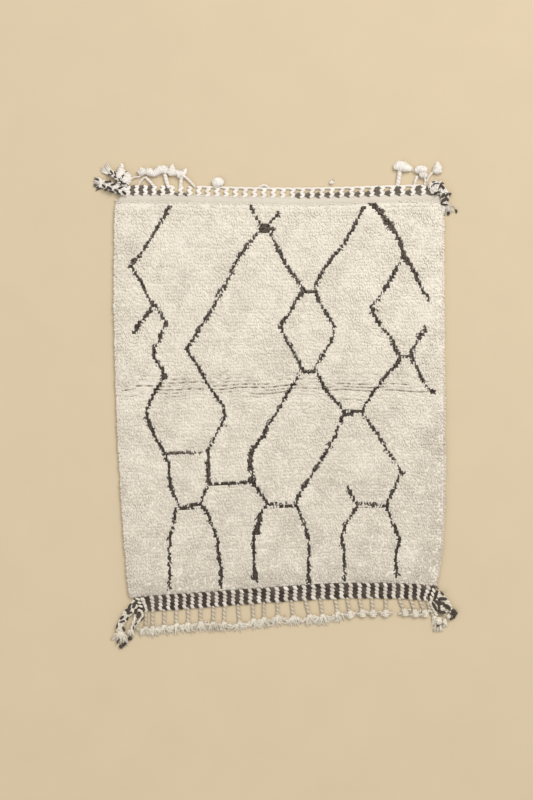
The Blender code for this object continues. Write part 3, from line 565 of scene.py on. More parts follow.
class RugColours(PropertyGroup):
    """Colours of the wools and the floor, with the fold's brown that is partly painted shade."""

    cream: colour_property("Cream", "Pile yarn", 250, 244, 231)
    cream_deep: colour_property("Deep cream", "Darker pile yarn", 215, 206, 192)
    dark: colour_property("Dark", "Dark yarn", 62, 52, 43)
    dark_grey: colour_property("Greyed dark", "Paler dark yarn", 120, 109, 98)
    # partly the ground's warp showing in the fold's grooves, partly painted shade there, more the deeper the
    # groove
    fold: colour_property("Fold", "Wool deep in the fold", 112, 84, 50)
    white: colour_property("White", "Bands' white yarn", 252, 247, 240)
    white_deep: colour_property("Deep white", "Darker white yarn", 212, 202, 188)
    warp: colour_property("Warp", "Cords and tufts of the fringe", 243, 236, 221)
    warp_deep: colour_property("Deep warp", "Darker yarn of the fringe", 184, 170, 146)
    floor: colour_property("Floor", "Plain floor", 219, 202, 172)


def smooth_line(rows, axis, value):
    """A smooth curve through two columns of a table."""
    at = [getattr(row, axis) for row in rows]
    return np.poly1d(np.polyfit(at, [getattr(row, value) for row in rows], 4))


left_edge = smooth_line(SIDES, "y", "left")
right_edge = smooth_line(SIDES, "y", "right")
bottom_edge = smooth_line(ENDS, "x", "bottom")
top_edge = smooth_line(ENDS, "x", "top")
LOW = ENDS[0].bottom
HIGH = SIDES[0].y
LENGTH = HIGH - LOW
WIDTH = SIDES[0].right - SIDES[0].left


def bar_x(number):
    """Middle of one of the top band's bars."""
    return BAR_FIRST + BAR_STEP * number + BAR_GROWTH * number**2


def place(share, across):
    """Points of the ground: share of its length from the bottom, and share of its width from the left."""
    y = LOW + share * LENGTH
    pull = CORNER_PULL * np.maximum(0.0, 1 - (HIGH - y) / CORNER_REACH) ** 2
    left, right = left_edge(y) + pull, right_edge(y) - pull
    x = left + (right - left) * across
    y = bottom_edge(x) + share * (top_edge(x) - bottom_edge(x))
    wave = sum(size * np.sin(pace * x + start) for size, pace, start in FOLD_WAVES)
    return x, y + wave * np.exp(-(((y - FOLD_Y) / FOLD_REACH) ** 2)), left, right


def drift(x, y, size, chance):
    """A smooth wandering field, mostly from -1 to 1, whose patches have about the given size."""
    total = np.zeros_like(x)
    for _ in range(DRIFT_WAVES):
        angle = chance.uniform(0, 2 * math.pi)
        pace = 2 * math.pi / (size * chance.uniform(0.7, 1.9))
        total += np.sin(pace * (x * math.cos(angle) + y * math.sin(angle)) + chance.uniform(0, 2 * math.pi))
    return total / (DRIFT_WAVES / 2)


def knot_counts(sizes):
    """Numbers of rows and columns of knots, and the share of the ground's length that the rows cover."""
    rows = round((LENGTH - sizes.flat_strip) / sizes.knot_row)
    return rows, round(WIDTH / sizes.knot_width), 1 - sizes.flat_strip / LENGTH


def fold_line(rows, covered):
    """Which line between two rows of knots is the fold's own."""
    return round((FOLD_Y - LOW) / LENGTH / covered * rows)


def groove_depth(line, x):
    """How deep the groove between two rows is along it, from 0 to 1. line counts from the fold's own."""
    depth = np.zeros_like(x)
    for number, grooves in GROOVES.items():
        for left, right, deepest in grooves:
            inside = np.minimum(x - left, right - x) / GROOVE_TAPER
            broken = GROOVE_SHARE
            for size, pace, turn in GROOVE_WAVES:
                broken = broken + size * np.sin(pace * x + turn * number)
            part = deepest * np.clip(inside, 0, 1) * broken
            depth = np.maximum(depth, np.where(np.asarray(line) == number, part, 0.0))
    return np.clip(depth, 0, 1)


class Fleece:
    """Yarn surfaces gathered for one piece, with each point's tone and its place round and along its yarn."""

    def __init__(self):
        self.points = []
        self.turns = []
        self.tones = []
        self.quads = []
        self.triangles = []
        self.count = 0

    def add(self, points, turns, tones, quads, triangles):
        self.points.append(points)
        self.turns.append(turns)
        self.tones.append(tones)
        self.quads.append(quads + self.count)
        self.triangles.append(triangles + self.count)
        self.count += len(points)

    def piece(self, name, material, slot):
        """The finished object, riding on the rug's one body."""
        points = np.concatenate(self.points).astype(np.float32)
        points[:, 2] = np.maximum(points[:, 2], LEAST_HEIGHT)
        quads = np.concatenate(self.quads).astype(np.int32)
        triangles = np.concatenate(self.triangles).astype(np.int32)
        mesh = bpy.data.meshes.new(name)
        mesh.vertices.add(len(points))
        mesh.vertices.foreach_set("co", points.ravel())
        mesh.loops.add(quads.size + triangles.size)
        mesh.loops.foreach_set("vertex_index", np.concatenate([quads.ravel(), triangles.ravel()]))
        mesh.polygons.add(len(quads) + len(triangles))
        starts = np.concatenate([4 * np.arange(len(quads)), quads.size + 3 * np.arange(len(triangles))])
        mesh.polygons.foreach_set("loop_start", starts.astype(np.int32))
        mesh.update(calc_edges=True)
        mesh.validate()
        mesh.shade_smooth()
        turn = mesh.attributes.new("turn", "FLOAT_VECTOR", "POINT")
        turn.data.foreach_set("vector", np.concatenate(self.turns).astype(np.float32).ravel())
        tone = mesh.attributes.new("tone", "FLOAT", "POINT")
        tone.data.foreach_set("value", np.concatenate(self.tones).astype(np.float32))
        mesh.materials.append(material)
        thing = bpy.data.objects.new(name, mesh)
        bpy.context.scene.collection.objects.link(thing)
        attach(thing, BODY)
        return thing


def crosswise(path):
    """Directions along a path, to its right and upwards, without twist."""
    ahead = np.gradient(path, axis=0)
    ahead /= np.linalg.norm(ahead, axis=1)[:, None]
    right = np.empty_like(path)
    side = np.cross(ahead[0], UP)
    if np.linalg.norm(side) < 0.1:
        side = np.cross(ahead[0], (0.0, 1.0, 0.0))
    for number, direction in enumerate(ahead):
        side = side - direction * side.dot(direction)
        side = side / np.linalg.norm(side)
        right[number] = side
    return ahead, right, np.cross(right, ahead)


def distances(path):
    """Length of a path up to each of its points."""
    steps = np.linalg.norm(np.diff(path, axis=0), axis=1)
    return np.concatenate([[0.0], np.cumsum(steps)])


def resample(path, step):
    """The same path with evenly spaced points, about a step apart."""
    path = np.asarray(path, float)
    at = distances(path)
    count = max(3, int(round(at[-1] / step)) + 1)
    fresh = np.linspace(0, at[-1], count)
    return np.stack([np.interp(fresh, at, path[:, axis]) for axis in range(3)], axis=1)


def smooth(points, step):
    """A smooth path through a few points, with a point about every step."""
    points = np.asarray(points, float)
    rounds = np.vstack([2 * points[0] - points[1], points, 2 * points[-1] - points[-2]])
    made = []
    for start in range(len(points) - 1):
        before, first, second, after = rounds[start : start + 4]
        count = max(2, int(np.linalg.norm(second - first) / step))
        share = np.linspace(0, 1, count, endpoint=False)[:, None]
        curve = 2 * first + (second - before) * share
        curve = curve + (2 * before - 5 * first + 4 * second - after) * share**2
        curve = curve + (3 * first - before - 3 * second + after) * share**3
        made.append(curve / 2)
    made.append(points[-1:])
    return resample(np.vstack(made), step)


def along(values, count):
    """A few values spread evenly over a number of points."""
    values = np.atleast_1d(values)
    return np.interp(np.linspace(0, 1, count), np.linspace(0, 1, len(values)), values)


def tube(fleece, path, radius, tone, sides=6, flat=1.0):
    """A closed yarn along a path. Its height is flat times its width."""
    path = np.asarray(path, float)
    count = len(path)
    radius = along(radius, count)
    ahead, right, rise = crosswise(path)
    angle = 2 * math.pi * np.arange(sides) / sides
    cos, sin = np.cos(angle), np.sin(angle)
    ring = cos[None, :, None] * right[:, None, :] + flat * sin[None, :, None] * rise[:, None, :]
    ring = path[:, None, :] + radius[:, None, None] * ring
    tips = np.stack([path[0] - ahead[0] * radius[0] * 0.5, path[-1] + ahead[-1] * radius[-1] * 0.5])
    points = np.vstack([ring.reshape(-1, 3), tips])
    run = distances(path)
    turns = np.stack([np.tile(cos, count), np.tile(sin, count), np.repeat(run, sides)], axis=1)
    turns = np.vstack([turns, [[0, 0, run[0]], [0, 0, run[-1]]]])
    first = (np.arange(count - 1)[:, None] * sides + np.arange(sides)[None, :]).ravel()
    second = (np.arange(count - 1)[:, None] * sides + (np.arange(sides)[None, :] + 1) % sides).ravel()
    quads = np.stack([first, first + sides, second + sides, second], axis=1)
    corner = np.arange(sides)
    other = (corner + 1) % sides
    end = (count - 1) * sides
    start_cap = np.stack([np.full(sides, count * sides), corner, other], axis=1)
    end_cap = np.stack([np.full(sides, count * sides + 1), end + other, end + corner], axis=1)
    tones = np.full(len(points), tone)
    fleece.add(points, turns, tones, quads, np.vstack([start_cap, end_cap]))


def twist(path, reach, pitch, share, flat=1.0):
    """Path of one ply that winds round another path, at a share of a turn from the first."""
    path = resample(path, pitch / 9)
    _, right, rise = crosswise(path)
    angle = 2 * math.pi * (distances(path) / pitch + share)
    reach = along(reach, len(path))[:, None]
    return path + reach * (np.cos(angle)[:, None] * right + flat * np.sin(angle)[:, None] * rise)


def two_ply(fleece, path, reach, pitch, radius, tone, sides):
    """A thin cord of two plies of one wool."""
    for ply in PLIES:
        tube(fleece, twist(path, reach, pitch, ply), radius, tone, sides)


def cord(fleeces, path, width, tones, pitch):
    """A cord of two twisted plies, each with its own fleece and tone."""
    flat = 0.94
    for start, fleece, tone in zip(PLIES, fleeces, tones):
        ply = twist(path, width * 0.235, pitch, start, flat)
        tube(fleece, ply, width * 0.275, tone, sides=7, flat=flat)


def coil(fleece, start, ahead, tone, chance):
    """The knot at the end of a fringe cord: yarn wound round it."""
    yarn = KNOT_LENGTH * 0.28
    side = np.cross(ahead, UP)
    share = np.linspace(0, 1, int(KNOT_TURNS * 11))
    angle = 2 * math.pi * KNOT_TURNS * share + chance.uniform(0, 6)
    inner = 0.12 + 0.76 * share
    swell = np.sin(math.pi * inner) ** 0.5
    path = start + ahead * (KNOT_LENGTH * inner)[:, None]
    path = path + side * ((KNOT_WIDTH / 2 - yarn) * swell * np.cos(angle))[:, None]
    path = path + UP * ((KNOT_HEIGHT / 2 - yarn) * swell * np.sin(angle))[:, None]
    tube(fleece, path, yarn * (0.8 + 0.3 * np.sin(math.pi * share)), tone, sides=7)


def puff(fleece, points, widths, height, tone, chance, yarn=0.0021):
    """A ball, roll or cone of wool: a soft core, yarn wound round it at changing slants, and stray fibres."""
    path = smooth(points, 0.0025)
    widths = np.asarray(widths, float)
    flat = height / widths.max()
    tube(fleece, path, widths / 2 - yarn * 0.7, tone, sides=12, flat=flat)
    _, right, rise = crosswise(path)
    run = distances(path)

    def skin(share, angle, above):
        """Points of the surface, by share of the length and angle round it."""
        spots, sideways, upwards = (
            np.stack([np.interp(share, run / run[-1], part[:, axis]) for axis in range(3)], axis=-1)
            for part in (path, right, rise)
        )
        reach = np.interp(share, np.linspace(0, 1, len(widths)), widths) / 2 + above
        outward = np.cos(angle)[..., None] * sideways + flat * np.sin(angle)[..., None] * upwards
        return spots + reach[..., None] * outward

    turns = run[-1] / (yarn * 1.6)
    share = np.linspace(0, 1, max(24, int(turns * 14)))
    angle = 2 * math.pi * turns * share + chance.uniform(0, 6)
    slant = min(0.26, 0.40 * widths.max() / run[-1])
    slant = slant * np.sin(2 * math.pi * 1.3 * share + chance.uniform(0, 6)) * np.sin(math.pi * share)
    lumps = yarn * (0.45 * np.sin(angle * 0.37 + chance.uniform(0, 6)) - 0.70)
    tube(fleece, skin(share + slant * np.cos(angle), angle, lumps), yarn, tone, sides=6)
    steps = np.arange(4)
    for _ in range(FIBRES):
        at = chance.uniform(0.06, 0.94) + chance.normal(0, 0.05) * steps
        round_it = chance.uniform(0, 2 * math.pi) + chance.normal(0, 0.28) * steps
        fibre = skin(np.clip(at, 0, 1), round_it, yarn * 1.1 * chance.uniform(0.3, 1.0) * steps - yarn)
        tube(fleece, fibre, FIBRE_RADIUS, tone, sides=3)


def wobble(path, size, chance):
    """The same path, wandering a little as hand work does."""
    run = distances(path)
    for axis in (0, 1):
        for pace in (90, 210):
            path[:, axis] += size * 0.6 * np.sin(pace * run + chance.uniform(0, 6))
    return path


def plait(fleece, path, widths, height, chance):
    """A flat plait whose strands are each twisted from two yarns."""
    path = resample(smooth(path, 0.003), PLAIT_PITCH / 16)
    _, right, rise = crosswise(path)
    run = distances(path)
    wide = along(widths, len(path))
    thick = wide * 0.44
    start = chance.uniform(0, 6)
    for number in range(PLAIT_STRANDS):
        angle = 2 * math.pi * (run / PLAIT_PITCH + number / PLAIT_STRANDS) + start
        side = (wide - thick) / 2 * np.sin(angle)
        lift = height * 0.20 * np.sin(2 * angle)
        centre = wobble(path + side[:, None] * right + lift[:, None] * rise, 0.0008, chance)
        turn = chance.uniform(0, 1)
        for ply in PLIES:
            yarn = twist(centre, thick * 0.22, PLAIT_YARN_PITCH, turn + ply, 0.9)
            tube(fleece, yarn, thick * 0.29, float(chance.uniform(0.0, 0.45)), sides=8, flat=0.9)


def tangle(fleeces, centre, width, height, loops, chance):
    """Loops of cord that cross over a knot in all directions, each in the next of the given wools."""
    for number in range(loops):
        angle = math.pi * (number + chance.uniform(-0.3, 0.3)) / loops
        ahead = np.array((math.cos(angle), math.sin(angle), 0.0)) * width / 2
        aside = np.array((-math.sin(angle), math.cos(angle), 0.0)) * width * chance.uniform(-0.30, 0.30)
        path = [centre - ahead + aside * 0.4, centre + aside + UP * height, centre + ahead + aside * 0.4]
        fleece = fleeces[number % len(fleeces)]
        tones = chance.uniform(0.0, 0.4, 2)
        cord((fleece, fleece), smooth(path, 0.003), LOOP_WIDTH, tones, 0.016)


def strand(fleece, start, heading, bend, length, radius, drop, tone):
    """One loose strand that sets out on a heading in the floor's plane, and curves as it goes."""
    points = 7
    share = np.linspace(0, 1, points)
    angle = heading + bend * share**1.3
    step = length / (points - 1)
    x = start[0] + np.concatenate([[0], np.cumsum(np.cos(angle[:-1]) * step)])
    y = start[1] + np.concatenate([[0], np.cumsum(np.sin(angle[:-1]) * step)])
    z = np.maximum(start[2] - drop * share**1.5, radius * 0.9)
    taper = radius * (1.0 - 0.55 * share**2)
    tube(fleece, np.stack([x, y, z], axis=1), taper, tone, sides=4)


def uneven_tone(chance, usual, stray):
    """One yarn's tone, from 0 to 1, near the usual one."""
    return float(np.clip(chance.normal(usual, stray), 0, 1))


def tuft(fleece, root, heading, fan, length, width, strands, tone, chance, curl, height, yarn):
    """A frayed end: many loose strands that fan out from a root and curl."""
    side = np.array((-math.sin(heading), math.cos(heading)))
    for number in range(strands):
        swing = 2 * (number + chance.uniform(0.1, 0.9)) / strands - 1
        start = np.array(root, float)
        start[:2] += side * swing * width / 2
        start[2] = chance.uniform(0.30, 1.0) * height
        reach = length * (1 - 0.18 * abs(swing)) * chance.uniform(0.75, 1.08)
        bend = curl * (chance.normal(0, 0.7) + 0.3 * swing)
        radius = yarn * chance.uniform(0.7, 1.15)
        own_tone = uneven_tone(chance, tone, 0.20)
        strand(fleece, start, heading + swing * fan, bend, reach, radius, start[2] * 0.6, own_tone)


def stitch(fleece, centre, slant, length, width, height, tone):
    """One float of a twined row: a plump yarn whose two ends tuck down."""
    share = np.linspace(-1, 1, 7)
    ahead = np.array((math.cos(slant), math.sin(slant), 0.0))
    path = np.asarray(centre) + share[:, None] * ahead * (length / 2)
    path[:, 2] -= STITCH_SAG * (height / 2) * np.abs(share) ** 3
    radius = (width / 2) * (1 - 0.42 * np.abs(share) ** 4)
    tube(fleece, path, radius, tone, sides=8, flat=height / width)


# Materials


def add_node(tree, kind, inputs=(), **settings):
    """A node with its settings, and its inputs given as pairs of a name or number and a value or socket."""
    node = tree.nodes.new(kind)
    for name, value in settings.items():
        setattr(node, name, value)
    for key, value in inputs:
        if isinstance(value, bpy.types.NodeSocket):
            tree.links.new(value, node.inputs[key])
        else:
            node.inputs[key].default_value = value
    return node


def calculate(tree, operation, *values):
    """Result of one step of arithmetic."""
    return add_node(tree, "ShaderNodeMath", list(enumerate(values)), operation=operation).outputs[0]


def noise(tree, where, scale, detail, roughness=0.5):
    """Values of a noise at a place."""
    inputs = [("Vector", where), ("Scale", scale), ("Detail", detail), ("Roughness", roughness)]
    return add_node(tree, "ShaderNodeTexNoise", inputs).outputs["Fac"]


def spread(tree, value, low, high, least, most):
    """A value from low to high, spread from least to most."""
    inputs = [("Value", value), ("From Min", low), ("From Max", high), ("To Min", least), ("To Max", most)]
    return add_node(tree, "ShaderNodeMapRange", inputs).outputs["Result"]


def blend(tree, share, first, second):
    """A colour between two others. The numbers are the sockets that hold colours."""
    inputs = [(0, share), (6, first), (7, second)]
    return add_node(tree, "ShaderNodeMix", inputs, data_type="RGBA").outputs[2]


def attribute(tree, name, kind="Fac"):
    """Values of one of the mesh's own attributes."""
    return add_node(tree, "ShaderNodeAttribute", attribute_name=name).outputs[kind]


def new_group(name, inputs, outputs):
    """A shader node group with named inputs and outputs."""
    tree = bpy.data.node_groups.new(name, "ShaderNodeTree")
    for socket in inputs:
        made = tree.interface.new_socket(socket.name, in_out="INPUT", socket_type=socket.kind)
        made.default_value = socket.default
    for socket in outputs:
        tree.interface.new_socket(socket.name, in_out="OUTPUT", socket_type=socket.kind)
    return tree, tree.nodes.new("NodeGroupInput").outputs, tree.nodes.new("NodeGroupOutput").inputs


FLOAT = "NodeSocketFloat"
COLOUR = "NodeSocketColor"
VECTOR = "NodeSocketVector"


def make_twist_group():
    """Ridges of the plies that wind round a yarn."""
    tree, given, made = new_group(
        "Yarn twist",
        (Socket("Turn", VECTOR, (0, 0, 0)), Socket("Plies", FLOAT, 2.0), Socket("Pitch", FLOAT, 0.01)),
        (Socket("Height", FLOAT, 0.0),),
    )
    parts = add_node(tree, "ShaderNodeSeparateXYZ", [("Vector", given["Turn"])]).outputs
    angle = calculate(tree, "ARCTAN2", parts["Y"], parts["X"])
    winding = calculate(tree, "DIVIDE", calculate(tree, "MULTIPLY", parts["Z"], 2 * math.pi), given["Pitch"])
    phase = calculate(tree, "ADD", calculate(tree, "MULTIPLY", angle, given["Plies"]), winding)
    ridge = calculate(tree, "ABSOLUTE", calculate(tree, "SINE", calculate(tree, "MULTIPLY", phase, 0.5)))
    tree.links.new(ridge, made["Height"])
    return tree


def make_fibre_group():
    """Fine fibres that run along a yarn."""
    tree, given, made = new_group(
        "Wool fibre",
        (Socket("Turn", VECTOR, (0, 0, 0)), Socket("Fineness", FLOAT, 4.0), Socket("Length", FLOAT, 260.0)),
        (Socket("Height", FLOAT, 0.0),),
    )
    parts = add_node(tree, "ShaderNodeSeparateXYZ", [("Vector", given["Turn"])]).outputs
    scales = {"X": given["Fineness"], "Y": given["Fineness"], "Z": given["Length"]}
    inputs = [(axis, calculate(tree, "MULTIPLY", parts[axis], scale)) for axis, scale in scales.items()]
    where = add_node(tree, "ShaderNodeCombineXYZ", inputs).outputs[0]
    tree.links.new(noise(tree, where, scale=1.0, detail=4.0, roughness=0.65), made["Height"])
    return tree


def make_tone_group():
    """Uneven colour of hand-spun wool, by each yarn's tone, which also carries painted shade, and by soft
    patches across the rug.
    """
    tree, given, made = new_group(
        "Wool tone",
        (
            Socket("Light", COLOUR, (1, 1, 1, 1)),
            Socket("Deep", COLOUR, (0.5, 0.5, 0.5, 1)),
            Socket("Tone", FLOAT, 0.5),
            Socket("Fibre", FLOAT, 0.5),
            Socket("Patches", FLOAT, 9.0),
        ),
        (Socket("Colour", COLOUR, (1, 1, 1, 1)), Socket("Roughness", FLOAT, 0.9)),
    )
    place_in_rug = tree.nodes.new("ShaderNodeTexCoord").outputs["Object"]
    patches = noise(tree, place_in_rug, given["Patches"], detail=3.0)
    speckle = noise(tree, place_in_rug, scale=420.0, detail=2.0)
    total = given["Tone"]
    for value, weight in ((given["Fibre"], 0.30), (patches, 0.40), (speckle, 0.35)):
        total = calculate(tree, "ADD", total, calculate(tree, "MULTIPLY", value, weight))
    share = spread(tree, total, 0.525, 1.525, 0.0, 1.0)
    tree.links.new(blend(tree, share, given["Light"], given["Deep"]), made["Colour"])
    tree.links.new(spread(tree, given["Fibre"], 0.2, 0.8, 0.82, 0.98), made["Roughness"])
    return tree


def group_node(tree, name, maker, inputs):
    """A shared group placed in a material with its own values."""
    shared = bpy.data.node_groups.get(name) or maker()
    return add_node(tree, "ShaderNodeGroup", inputs, node_tree=shared).outputs


def wool(name, light, deep, plies, pitch, relief=0.0006):
    """Matt wool yarn between two of the rug's colours: uneven colour, twisted plies and fine fibres."""
    material = bpy.data.materials.get(name)
    if material:
        return material
    colours = bpy.context.scene.rug_colours
    light, deep = ((*getattr(colours, colour), 1.0) for colour in (light, deep))
    material = bpy.data.materials.new(name)
    material.use_nodes = True
    tree = material.node_tree
    shader = tree.nodes["Principled BSDF"]
    turn, tone = attribute(tree, "turn", "Vector"), attribute(tree, "tone")
    yarn = [("Turn", turn), ("Plies", plies), ("Pitch", pitch)]
    ridges = group_node(tree, "Yarn twist", make_twist_group, yarn)["Height"]
    fibres = group_node(tree, "Wool fibre", make_fibre_group, [("Turn", turn)])["Height"]
    tints = [("Light", light), ("Deep", deep), ("Tone", tone), ("Fibre", fibres)]
    tones = group_node(tree, "Wool tone", make_tone_group, tints)
    height = calculate(tree, "ADD", ridges, calculate(tree, "MULTIPLY", fibres, 0.8))
    bump = add_node(tree, "ShaderNodeBump", [("Strength", 0.8), ("Distance", relief), ("Height", height)])
    tree.links.new(tones["Colour"], shader.inputs["Base Color"])
    tree.links.new(tones["Roughness"], shader.inputs["Roughness"])
    tree.links.new(bump.outputs["Normal"], shader.inputs["Normal"])
    shader.inputs["Specular IOR Level"].default_value = 0.15
    shader.inputs["Sheen Weight"].default_value = 0.35
    shader.inputs["Sheen Roughness"].default_value = 0.5
    return material


def pale_wool():
    """Cream wool of the pile."""
    return wool("pale_pile_wool", "cream", "cream_deep", plies=2.0, pitch=0.012, relief=0.0004)


def dark_wool():
    """Dark wool of the pile's lines."""
    return wool("dark_pile_wool", "dark", "dark_grey", plies=2.0, pitch=0.012, relief=0.0004)


def white_band_wool():
    """White wool of the bands, the top fringe and the top tassels."""
    return wool("white_band_wool", "white", "white_deep", plies=3.0, pitch=0.016)


def dark_band_wool():
    """Dark wool of the bands and tassels."""
    return wool("dark_band_wool", "dark", "dark_grey", plies=3.0, pitch=0.016)


def warp_wool():
    """Cream yarn of the bottom fringe and the bottom tassels."""
    return wool("fringe_wool", "warp", "warp_deep", plies=2.0, pitch=0.006, relief=0.0004)


# Pieces


def chart_distance(x, y):
    """How far inside a dark line each point lies, in metres, and that line's tone."""
    depth = np.full(x.shape, -1.0)
    tone = np.zeros(x.shape)
    usual, wander = LINE_SWELL
    swell = usual + wander * drift(x, y, 0.050, np.random.default_rng(3))
    for line in CHART:
        points = np.array(line.points) / 100
        half_width = (line.half_width - KNOT_SPREAD) / 1000
        for first, second in zip(points[:-1], points[1:]):
            run = second - first
            share = ((x - first[0]) * run[0] + (y - first[1]) * run[1]) / run.dot(run)
            share = np.clip(share, 0, 1)
            away = np.hypot(x - first[0] - share * run[0], y - first[1] - share * run[1])
            inside = half_width * swell - away
            better = inside > depth
            depth = np.where(better, inside, depth)
            tone = np.where(better, line.tone, tone)
    return depth, tone


def pile_top(x, left, right, sizes):
    """Height of the pile's top, and how far into the side's roll each point is."""
    inset = np.minimum(x - left, right - x)
    roll = np.clip(1 - inset / ROLL, 0, 1)
    return sizes.pile_height - (sizes.pile_height - sizes.rim_height) * roll**1.6, roll


def low_drop(share):
    """How much lower the pile's top is near its bottom end, by share of its length."""
    return LOW_DROP * np.clip(1 - share * LENGTH / LOW_RIM, 0, 1) ** 1.3


def yarn_ends(paths, radius, tones, chance):
    """A fleece of short cut ends that rise and bend over. paths is each end's base, two bends and tip."""
    count, sides = len(radius), 4
    base, rise, over, tip = paths
    ahead = over - rise
    level = np.stack([-ahead[:, 1], ahead[:, 0], np.zeros(count)], 1)
    level /= np.maximum(np.linalg.norm(level, axis=1), 1e-9)[:, None]
    start = chance.uniform(0, 2 * math.pi, count)
    angle = start[:, None] + 2 * math.pi * np.arange(sides)[None, :] / sides
    cos, sin = np.cos(angle), np.sin(angle)
    offset = chance.uniform(0, 4, count)
    rings, turns = [], []
    for middle, tangent, swell, run in (
        (base, rise - base, 0.85, 0.0),
        (rise, over - base, 1.0, 0.008),
        (over, tip - rise, 0.90, 0.016),
    ):
        tangent = tangent / np.linalg.norm(tangent, axis=1)[:, None]
        across = np.cross(tangent, level)
        wide = radius[:, None] * swell * chance.uniform(0.84, 1.16, (count, sides))
        ring = cos[:, :, None] * level[:, None, :] + sin[:, :, None] * across[:, None, :]
        rings.append(middle[:, None, :] + wide[:, :, None] * ring)
        turns.append(np.stack([cos, sin, np.repeat((offset + run)[:, None], sides, 1)], 2))
    points = np.concatenate([*rings, tip[:, None, :]], axis=1)
    last_turn = np.stack([np.zeros(count), np.zeros(count), offset + 0.022], 1)
    turns = np.concatenate([*turns, last_turn[:, None, :]], axis=1)
    each = points.shape[1]
    quads, triangles = [], []
    for low in range(0, (len(rings) - 1) * sides, sides):
        for side in range(sides):
            first, second = low + side, low + (side + 1) % sides
            quads.append((first, second, second + sides, first + sides))
    last = (len(rings) - 1) * sides
    for side in range(sides):
        triangles.append((last + side, last + (side + 1) % sides, each - 1))
    offsets = (np.arange(count) * each)[:, None, None]
    fleece = Fleece()
    fleece.add(
        points.reshape(-1, 3),
        turns.reshape(-1, 3),
        np.repeat(tones, each),
        (np.array(quads)[None] + offsets).reshape(-1, 4),
        (np.array(triangles)[None] + offsets).reshape(-1, 3),
    )
    return fleece


def slab(x, y, top, under):
    """Points and faces of a closed cloth between two heights over one grid."""
    points = [np.stack([x, y, height], 2).reshape(-1, 3) for height in (top, under)]
    layer = x.size
    index = np.arange(layer).reshape(x.shape)
    corners = (index[:-1, :-1], index[:-1, 1:], index[1:, 1:], index[1:, :-1])
    above = np.stack([corner.ravel() for corner in corners], 1)
    rim = np.concatenate([index[0, :], index[1:, -1], index[-1, -2::-1], index[-2:0:-1, 0]])
    after = np.roll(rim, -1)
    around = np.stack([rim, rim + layer, after + layer, after], 1)
    return np.concatenate(points), np.concatenate([above, above[:, ::-1] + layer, around])


def ground_rows(rows, covered):
    """The ground's cross lines as shares of its length, close together by the fold, and each one's groove."""
    middle = fold_line(rows, covered)
    shares, lines = [], []
    for row in range(rows):
        steps = 4 if abs(row - middle) < 6 else 1
        shares += [(row + part / steps) / rows * covered for part in range(steps)]
        lines += [row - middle if part == 0 else NO_GROOVE for part in range(steps)]
    step = 0.003 / LENGTH
    shares = np.array([*shares, covered - step, covered, *np.linspace(covered + step, 1, 9)])
    return shares, np.array([*lines, *[NO_GROOVE] * (len(shares) - len(lines))])


class RUG_OT_ground(Operator):
    """Weave the ground with the knots' backs below, the dense wool above and the flat strip at the top end"""

    bl_idname = "rug.ground"
    bl_label = "Ground and dense wool"

    def execute(self, context):
        sizes = context.scene.rug_sizes
        chance = np.random.default_rng(11)
        rows, columns, covered = knot_counts(sizes)
        shares, lines = ground_rows(rows, covered)
        in_strip = (shares >= covered)[:, None]
        share, over = np.meshgrid(shares, np.linspace(0, 1, columns + 1), indexing="ij")
        x, y, left, right = place(share, over)
        grooves = groove_depth(lines[:, None], x)
        by_strip = np.clip(1 - (covered - share) * LENGTH / STRIP_SLOPE, 0, 1)
        top = pile_top(x, left, right, sizes)[0] - COVER - sizes.fold_depth * grooves - STRIP_DROP * by_strip
        top = top - low_drop(share)
        top = top + chance.uniform(-0.0006, 0.0006, x.shape)
        top = top + 0.0008 * drift(x, y, 0.05, chance)
        rib = 0.0005 * (np.arange(len(shares)) % 2)[:, None] + chance.uniform(0, 0.0005, x.shape)
        top = np.where(in_strip, sizes.cloth + rib, top)
        points, faces = slab(x, y, top, under=chance.uniform(0.0, 0.0007, x.shape))
        angle = 2 * math.pi * x / WARP_PITCH
        turns = np.concatenate([np.stack([np.cos(angle), np.sin(angle), y], 2).reshape(-1, 3)] * 2)
        tones = np.where(in_strip, STRIP_TONE, np.full(x.shape, GROUND_TONE))
        fleece = Fleece()
        fleece.add(points, turns, np.tile(tones.ravel(), 2), faces, np.zeros((0, 3), int))
        ground = fleece.piece("rug_ground", ground_wool(), "cream_pile")
        inside, _ = chart_distance((x[:-1, :-1] + x[1:, 1:]) / 2, (y[:-1, :-1] + y[1:, 1:]) / 2)
        dark = (inside > -BACK_SPREAD).ravel()
        # brown in the fold's grooves by their depth: partly the warp showing, partly painted shade
        brown = FOLD_WARP_AND_SHADE * np.maximum(grooves[:-1, :-1], grooves[1:, :-1]).ravel()
        for name, above, below in (("dark_knot", dark, dark), ("fold_warp_and_shade", brown, np.zeros(brown.shape))):
            values = np.zeros(len(ground.data.polygons), np.float32)
            values[: 2 * len(dark)] = np.concatenate([above, below])
            ground.data.attributes.new(name, "FLOAT", "FACE").data.foreach_set("value", values)
        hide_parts("rug_pile")
        return {"FINISHED"}


def ground_wool():
    """Cream ground weave, browned inside the fold's grooves partly as its own warp and partly as painted
    shade, whose dark knots show on its back.
    """
    colours = bpy.context.scene.rug_colours
    material = wool("ground_weave", "cream", "cream_deep", plies=1.0, pitch=0.005)
    tree = material.node_tree
    shader = tree.nodes["Principled BSDF"]
    plain = shader.inputs["Base Color"].links[0].from_socket
    for name, colour in (("fold_warp_and_shade", colours.fold), ("dark_knot", colours.dark)):
        plain = blend(tree, attribute(tree, name), plain, (*colour, 1.0))
    tree.links.new(plain, shader.inputs["Base Color"])
    return material


